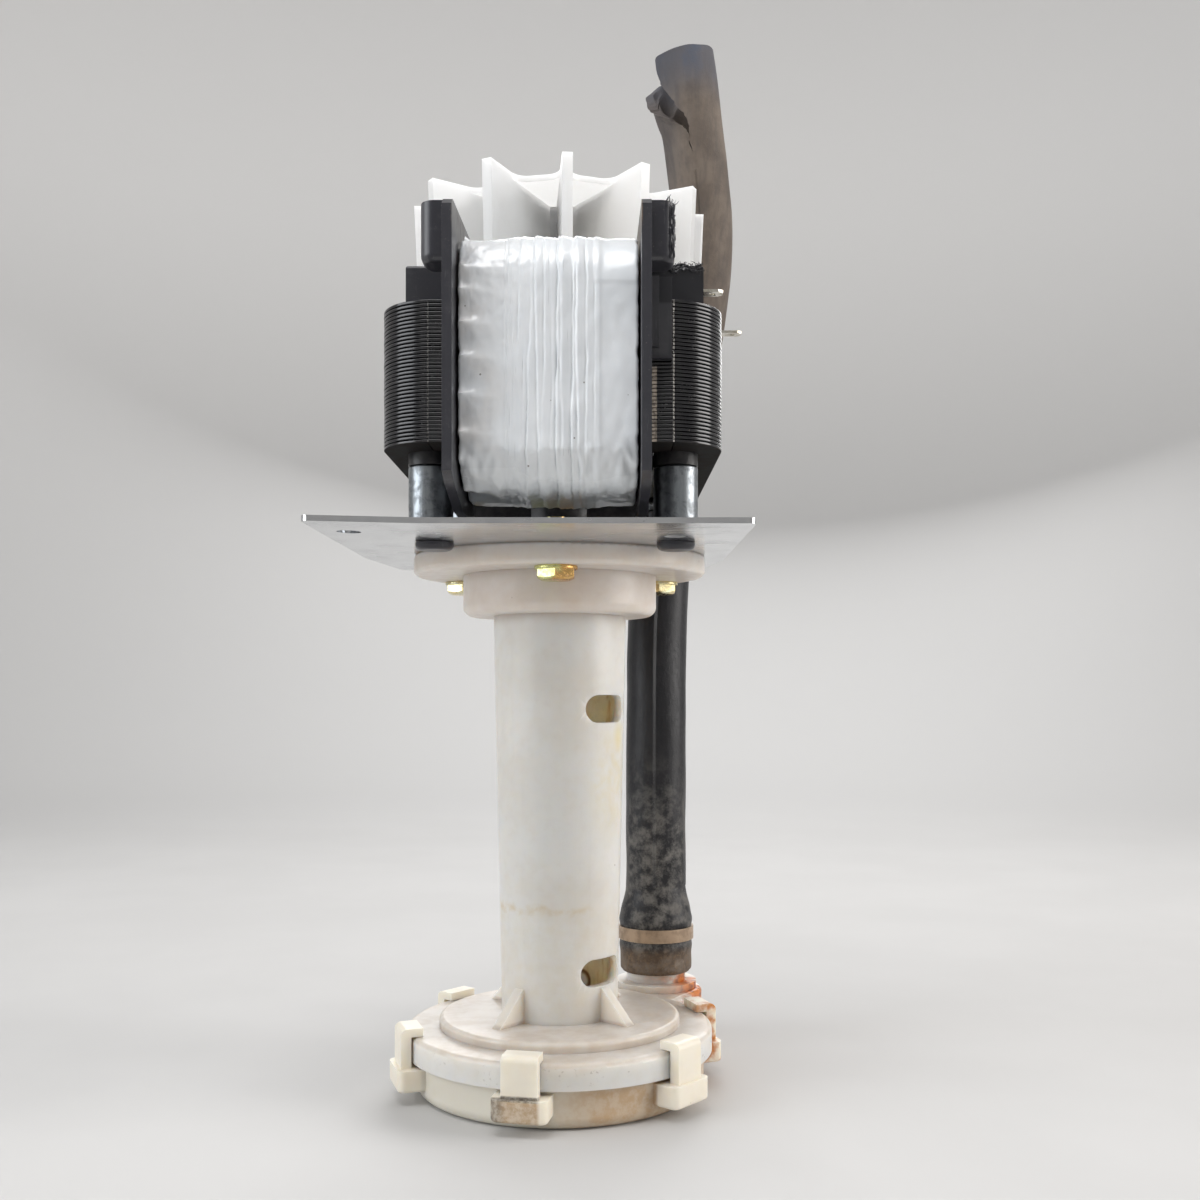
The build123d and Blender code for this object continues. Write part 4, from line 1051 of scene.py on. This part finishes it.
def across_tape(half):
    """Places across the tape, close together along its creased middle and at its edges."""
    runs = [(-half, -half + 2.4, 0.13), (-half + 2.4, -7.6, 0.26), (-7.6, 8.4, 0.115)]
    runs += [(8.4, half - 1.6, 0.34), (half - 1.6, half, 0.13)]
    places = [np.linspace(a, b, round((b - a) / step), endpoint=False) for a, b, step in runs]
    return np.concatenate(places + [[half]])


def tape_section(low, high):
    """Places, outward directions and unrolled heights round the coil, up its front first."""
    front, rear, bottom, top = low[1], high[1], low[2], high[2]
    radii = {"front top": 9.2, "rear top": 8.0, "rear bottom": 8.0, "front bottom": 8.4}
    places, outward = [], []

    def line(a, b, direction):
        count = int(math.dist(a, b) / TAPE_STEP)
        for t in np.linspace(0, 1, count, endpoint=False):
            places.append((a[0] + (b[0] - a[0]) * t, a[1] + (b[1] - a[1]) * t))
            outward.append(direction)

    def corner(centre, radius, start):
        count = int(radius * math.pi / 2 / TAPE_STEP)
        for t in np.linspace(0, math.pi / 2, count, endpoint=False):
            direction = (-math.cos(start + t), math.sin(start + t))
            places.append((centre[0] + direction[0] * radius, centre[1] + direction[1] * radius))
            outward.append(direction)

    ft, rt, rb, fb = (radii[k] for k in ("front top", "rear top", "rear bottom", "front bottom"))
    line((front, bottom + fb), (front, top - ft), (-1.0, 0.0))
    corner((front + ft, top - ft), ft, 0.0)
    line((front + ft, top), (rear - rt, top), (0.0, 1.0))
    corner((rear - rt, top - rt), rt, math.pi / 2)
    line((rear, top - rt), (rear, bottom + rb), (1.0, 0.0))
    corner((rear - rb, bottom + rb), rb, math.pi)
    line((rear - rb, bottom), (front + fb, bottom), (0.0, -1.0))
    corner((front + fb, bottom + fb), fb, 1.5 * math.pi)
    places, outward = np.array(places), np.array(outward)
    steps = np.linalg.norm(np.diff(places, axis=0, append=places[:1]), axis=1)
    unrolled = bottom + fb + np.concatenate([[0.0], np.cumsum(steps)[:-1]])
    total = steps.sum()
    wrapped = np.where(unrolled > 80.0, unrolled - total, unrolled)
    return places, outward, wrapped


def tape_relief(x, v, half):
    """How far the tape stands off its plain shape: x is a row across the coil, v a column up its turns."""
    relief = 0.42 * (1.0 - (x / half) ** 2) - 0.30 + 0.0 * v
    relief += 0.16 * wave(x * 0.16, v * 0.14, 2.0) + 0.05 * wave(x * 0.55, v * 0.40, 9.0)
    fine = ease(-x, -1.0, 7.0) * (0.4 + 0.6 * ease(v, 27.0, 40.0))
    relief += fine * (0.07 * wave(x * 0.9, v * 0.8, 4.0) + 0.035 * wave(x * 2.1, v * 1.6, 5.0))
    for place, lean, depth, width, start, end in TAPE_CREASES:
        line = place + lean * (v - 27.0) / 20.0 + 0.20 * wave(v * 0.10, place) + 0.05 * wave(v * 0.6, place)
        strength = ease(v, start - 2.0, start + 4.0) * ease(-v, -end - 2.0, -end + 4.0)
        strength = strength * (0.55 + 0.45 * wave(v * 0.22, place * 3.0))
        away = x - line
        relief += -depth * strength * np.exp(-((away / width) ** 2))
        relief += 0.30 * depth * np.tanh(away / width) * np.exp(-((away / 1.6) ** 2))
    edge = x + half
    for start, end in zip(TAPE_PINCHES, TAPE_PINCHES[1:]):
        size = min(end - start, 7.0)
        t = np.clip((v - start + 0.12 * edge) / (end - start), 0.0, 1.0)
        hollow = np.sin(math.pi * t**0.72) ** 1.2
        relief -= (0.30 + 0.11 * size) * hollow * np.exp(-((edge / (1.2 + 0.42 * size)) ** 1.6))
        ridge = bell(v - start, 0.10 * edge, 0.30 + 0.06 * edge)
        relief += 0.20 * ridge * np.exp(-((edge / (1.6 + 0.3 * size)) ** 2))
    crest = TAPE_CREST + 0.5 * wave(x * 0.5, 3.0) - 1.6 * ease(x, half - 3.0, half)
    for place, height in TAPE_GATHERS:
        crest = crest + 1.3 * height * bell(x, place, 1.5)
    gather = 0.6 + 0.4 * wave(x * 0.8, 6.0)
    relief += 0.36 * gather * bell(v, crest, 0.9)
    relief -= 0.52 * gather * bell(v, crest - 2.7, 1.8)
    relief -= 0.12 * bell(v, crest + 2.6, 1.6)
    pleats = 0.0 * x
    for place, height in TAPE_GATHERS:
        pleats = pleats + height * bell(x, place + 0.5 * wave(v * 0.25, place), 0.9)
    below = ease(-v, -crest - 1.0, -crest + 3.5) * ease(v, -9.0, -2.0)
    relief += 0.30 * (pleats - 0.45) * below
    relief += 0.10 * wave(x * 1.1, v * 0.5, 7.0) * below
    relief += 0.13 * ease(v, 38.25, 38.5) * ease(x, 7.3, 7.6) * ease(-v, -60.0, -58.0)
    relief += 0.10 * ease(x, -7.2, -6.9) * ease(-x, -8.6, -8.3)
    return relief


def tape_tip(x, y, z):
    """The torn, folded corner of the tape that stands up beside the left cheek."""
    rows, columns = 9, 5
    upper, lower = [], []
    for i in range(rows):
        t = i / (rows - 1)
        half = 1.15 * (1.0 - t) ** 0.8 + 0.03
        for j in range(columns):
            k = 2.0 * j / (columns - 1) - 1.0
            point = np.array([
                x - 0.7 * t + k * half,
                y + 0.3 * t - 0.35 * (1 - k * k) * (1 - t) + 0.4 * k * t,
                z - 1.1 + 2.1 * t + 0.25 * k * (1 - t),
            ])
            upper.append(point + (0.0, -0.09, 0.0))
            lower.append(point + (0.0, 0.09, 0.0))
    faces = grid_faces(rows, columns) + grid_faces(rows, columns, start=rows * columns, flip=True)
    rim = [i for i in range(columns)] + [r * columns + columns - 1 for r in range(1, rows)]
    rim += [(rows - 1) * columns + c for c in range(columns - 2, -1, -1)]
    rim += [r * columns for r in range(rows - 2, 0, -1)]
    back = rows * columns
    for a, b in zip(rim, rim[1:] + rim[:1]):
        faces.append([b, a, back + a, back + b])
    return upper + lower, faces


def make_tape(material):
    """The white tape round the coil: creased along its turns, pinched at its left edge, gathered below."""
    low, high = span("coil_tape")
    half = high[0] + 0.3
    places, outward, unrolled = tape_section(low, high)
    across = across_tape(half)
    count = len(across)
    x, v = across[None, :], unrolled[:, None]
    relief = tape_relief(x, v, half)
    lip = np.clip((half - np.abs(x)) / 0.55, 0.0, 1.0)
    relief = relief - 0.5 * (1.0 - np.sqrt(1.0 - (1.0 - lip) ** 2))
    edge_in = 0.22 * wave(v * 0.35, 5.0) * ease(np.abs(x), half - 1.5, half)
    rows = len(places)
    outer = np.stack([
        x - np.sign(x) * np.abs(edge_in) + 0.0 * v,
        places[:, 0][:, None] + outward[:, 0][:, None] * relief,
        places[:, 1][:, None] + outward[:, 1][:, None] * relief,
    ], axis=-1)
    wide = np.array([-half + 0.3, half - 0.3])
    inner = np.array([
        [(c, *(p - o * TAPE_THICK)) for c in wide] for p, o in zip(places, outward)
    ])
    points = np.concatenate([outer.reshape(-1, 3), inner.reshape(-1, 3)])
    start = rows * count
    faces = []
    for r in range(rows):
        n = (r + 1) % rows
        for c in range(count - 1):
            faces.append([r * count + c, n * count + c, n * count + c + 1, r * count + c + 1])
        a, b = start + 2 * r, start + 2 * n
        faces.append([a, a + 1, b + 1, b])
        faces.append([r * count, a, b, n * count])
        faces.append([r * count + count - 1, n * count + count - 1, b + 1, a + 1])
    tip = tape_tip(-13.1, low[1] + 5.0, high[2] - 1.6)
    mesh = join_meshes("taped_coil", [(points, faces), tip])
    return piece("taped_coil", shade(clean(mesh), 60.0), material, "coil_tape")


# ---------------------------------------------------------------- burrs on the bobbin
def spike(root, tip, bow, thick, sides=5, steps=5):
    """A curved, tapering hair between two points."""
    root, tip, bow = np.array(root), np.array(tip), np.array(bow)
    line = [root + (tip - root) * t + bow * 4 * t * (1 - t) for t in np.linspace(0, 1, steps)]
    points = []
    for i, centre in enumerate(line):
        ahead = line[min(i + 1, steps - 1)] - line[max(i - 1, 0)]
        ahead /= np.linalg.norm(ahead)
        side = np.cross(ahead, (0.31, 0.67, 0.68))
        side /= np.linalg.norm(side)
        other = np.cross(ahead, side)
        r = thick * (1.0 - 0.85 * i / (steps - 1))
        for k in range(sides):
            a = 2 * math.pi * k / sides
            points.append(centre + side * r * math.cos(a) + other * r * math.sin(a))
    faces = grid_faces(steps, sides, wrap=True)
    faces += [list(range(sides))[::-1], [(steps - 1) * sides + k for k in range(sides)]]
    return points, faces


def lumpy_bead(line, radius, seed, sides=10):
    """A melted, lumpy bead along a line of points."""
    line = np.array(line)
    along = np.gradient(line, axis=0)
    along /= np.linalg.norm(along, axis=1)[:, None]
    points = []
    for i, (centre, ahead) in enumerate(zip(line, along)):
        side = np.cross(ahead, (0.2, 0.9, 0.35))
        side /= np.linalg.norm(side)
        other = np.cross(ahead, side)
        closing = math.sqrt(max(0.02, 1 - (2.0 * i / (len(line) - 1) - 1) ** 8))
        for k in range(sides):
            a = 2 * math.pi * k / sides
            lump = 1.0 + 0.55 * float(wave(i * 0.55 + seed, math.cos(a), math.sin(a) + seed))
            r = radius * lump * closing
            points.append(centre + side * r * math.cos(a) + other * r * math.sin(a))
    faces = grid_faces(len(line), sides, wrap=True)
    faces += [list(range(sides))[::-1], [(len(line) - 1) * sides + k for k in range(sides)]]
    return points, faces


def make_burrs(material):
    """Melted beads, torn flakes and hairs along the right block's and post's broken edges."""
    rng = np.random.default_rng(11)
    block_out = span("coil_bobbin")[1][0]
    block_top, block_front = 45.8, -47.0
    parts = []
    for lift in (0.0, 0.55, 1.05):
        front, top = block_front + 0.15 + 0.3 * lift, block_top - 0.9 + 0.8 * lift
        steps = np.linspace(17.2, block_out - 0.2, 44)
        line = [(x, front, top + 0.25 * math.sin(x * 1.7 + lift)) for x in steps]
        parts.append(lumpy_bead(line, 0.34 - 0.06 * lift, 3.0 + lift))
    for _ in range(150):
        x = rng.uniform(17.4, block_out)
        root = (x, block_front + rng.uniform(-0.1, 0.7), block_top - rng.uniform(-0.5, 1.3))
        reach = rng.uniform(0.6, 1.5)
        tip = (
            root[0] + rng.uniform(-0.8, 0.3),
            root[1] - rng.uniform(0.15, 0.6),
            root[2] - reach * rng.uniform(-0.35, 1.0),
        )
        parts.append(spike(root, tip, rng.uniform(-0.15, 0.15, 3), rng.uniform(0.05, 0.13)))
    post_x, post_front = 20.5, -63.6
    for offset in (0.0, 0.5):
        line = [(post_x - 0.30 - offset + 0.07 * math.sin(z * 2.3 + offset * 5), post_front + 0.5 * offset, z)
                for z in np.linspace(41.4, 50.2, 40)]
        parts.append(lumpy_bead(line, 0.24, 8.0 + offset))
    tops = [(19.0, 23), (16.2, 14)]
    for centre, count in tops:
        for _ in range(count):
            root = (
                centre + rng.uniform(-0.9, 1.5),
                -63.5 + rng.uniform(-0.6, 2.0),
                50.0 + rng.uniform(-0.6, 0.5),
            )
            tip = (
                root[0] + rng.uniform(-0.3, 1.3),
                root[1] - rng.uniform(0.0, 0.8),
                root[2] + rng.uniform(-0.6, 1.3),
            )
            parts.append(spike(root, tip, rng.uniform(-0.3, 0.3, 3), rng.uniform(0.06, 0.14)))
    mesh = shade(clean(join_meshes("melted_burrs", parts)), 60.0)
    return piece("melted_burrs", mesh, material, "coil_bobbin", stands_for=False)


# ---------------------------------------------------------------- the other nodes
EAR_CREASE_X = -21.6
EAR_LIFT = 0.45


def bent_ear():
    """A bend that lifts the plate's long ear a little beyond a faint crease."""
    end = span("mounting_plate")[0][0]
    return lambda x, y, z: (x, y, z + EAR_LIFT * max(0.0, (EAR_CREASE_X - x) / (EAR_CREASE_X - end)))


def shrunk_winding():
    """A bend that draws the copper's outside in from the dented tape, and leaves its bore."""
    low, high = span("coil_winding")
    middle, half = (low + high) / 2, (high - low) / 2

    def bend(x, y, z):
        v = (np.array([x, y, z]) - middle) / half
        outside = abs(v[1]) > 0.6 or abs(v[2]) > 0.8
        v *= [1.0, 0.86, 0.89] if outside else 1.0
        return middle + v * half * [0.97, 1.0, 1.0]

    return bend


def make_rest():
    """Refined copies of the remaining nodes, each in its own material."""
    iron = blackened()
    yellow = yellow_zinc()
    ivory = ivory_nylon()
    stainless = metal("ground stainless", (0.62, 0.62, 0.61), (0.50, 0.50, 0.49), (0.16, 0.30), 0.6,
                      (1.0, 1.0, 0.2))
    black = black_plastic()
    varnish = varnished_sheets()
    bracket = soft("black bracket paint", (0.018, 0.018, 0.020), (0.045, 0.043, 0.042), (0.32, 0.5), 1.6)
    bronze = metal("sintered bronze", (0.55, 0.38, 0.20), (0.40, 0.26, 0.13), (0.35, 0.5), 0.5)
    looks = {
        "mounting_plate": galvanised(),
        "hole_plugs": black,
        "spacer_tubes": mottled_zinc(),
        "motor_screws": iron,
        "flange_screws": yellow,
        "flange_nuts": yellow,
        "shading_rings": metal("shading copper", (0.72, 0.36, 0.22), (0.48, 0.24, 0.15), (0.25, 0.45)),
        "stator_rivets": iron,
        "coil_bobbin": black,
        "coil_winding": metal("enamelled copper", (0.60, 0.25, 0.10), (0.45, 0.18, 0.07), (0.2, 0.35), 0.6,
                              (0.1, 1.0, 1.0)),
        "spade_terminals": metal("tinned brass", (0.66, 0.63, 0.56), (0.50, 0.46, 0.38), (0.18, 0.36)),
        "lower_bearing_bracket": bracket,
        "upper_bearing_bracket": bracket,
        "lower_bearing": bronze,
        "upper_bearing": bronze,
        "lower_bearing_retainer": stainless,
        "upper_bearing_retainer": stainless,
        "oil_felts": soft("oiled felt", (0.40, 0.35, 0.26), (0.25, 0.21, 0.15), (0.85, 0.95), 0.4, 0.15),
        "column_housing": ivory,
        "pump_bowl": cream_nylon(),
        "motor_shaft": stainless,
        "rotor_core": metal("rotor steel", (0.30, 0.30, 0.31), (0.18, 0.17, 0.17), (0.35, 0.5), 1.0,
                            (0.2, 0.2, 2.0)),
        "rotor_cage": metal("cast aluminium", (0.72, 0.72, 0.73), (0.58, 0.58, 0.59), (0.35, 0.55), 0.8),
        "thrust_washers": soft("hard fibre", (0.30, 0.12, 0.06), (0.20, 0.08, 0.04)),
        "cooling_fan": milky_nylon(),
        "fan_clip": stainless,
        "shaft_slinger": soft("black rubber ring", (0.02, 0.02, 0.02), (0.05, 0.05, 0.05), (0.5, 0.7)),
        "impeller": ivory,
        "impeller_screw": stainless,
    }
    shaped = {
        "mounting_plate": {"bevel": 0.14, "crease_x": EAR_CREASE_X, "bend": bent_ear()},
        "coil_winding": {"bend": shrunk_winding()},
        "pump_bowl": {"bevel": 0.35, "segments": 3},
        "spade_terminals": {"bevel": 0.10},
    }
    for node, material in looks.items():
        refined(node, material, **shaped.get(node, {}))
    sheet_stack("yoke_sheets", "stator_yoke", varnish, 5)
    sheet_stack("bar_sheets", "core_bar", varnished_sheets(raw_edge=True), 6)
    make_tape(film_tape())
    make_burrs(black)


make_rest()
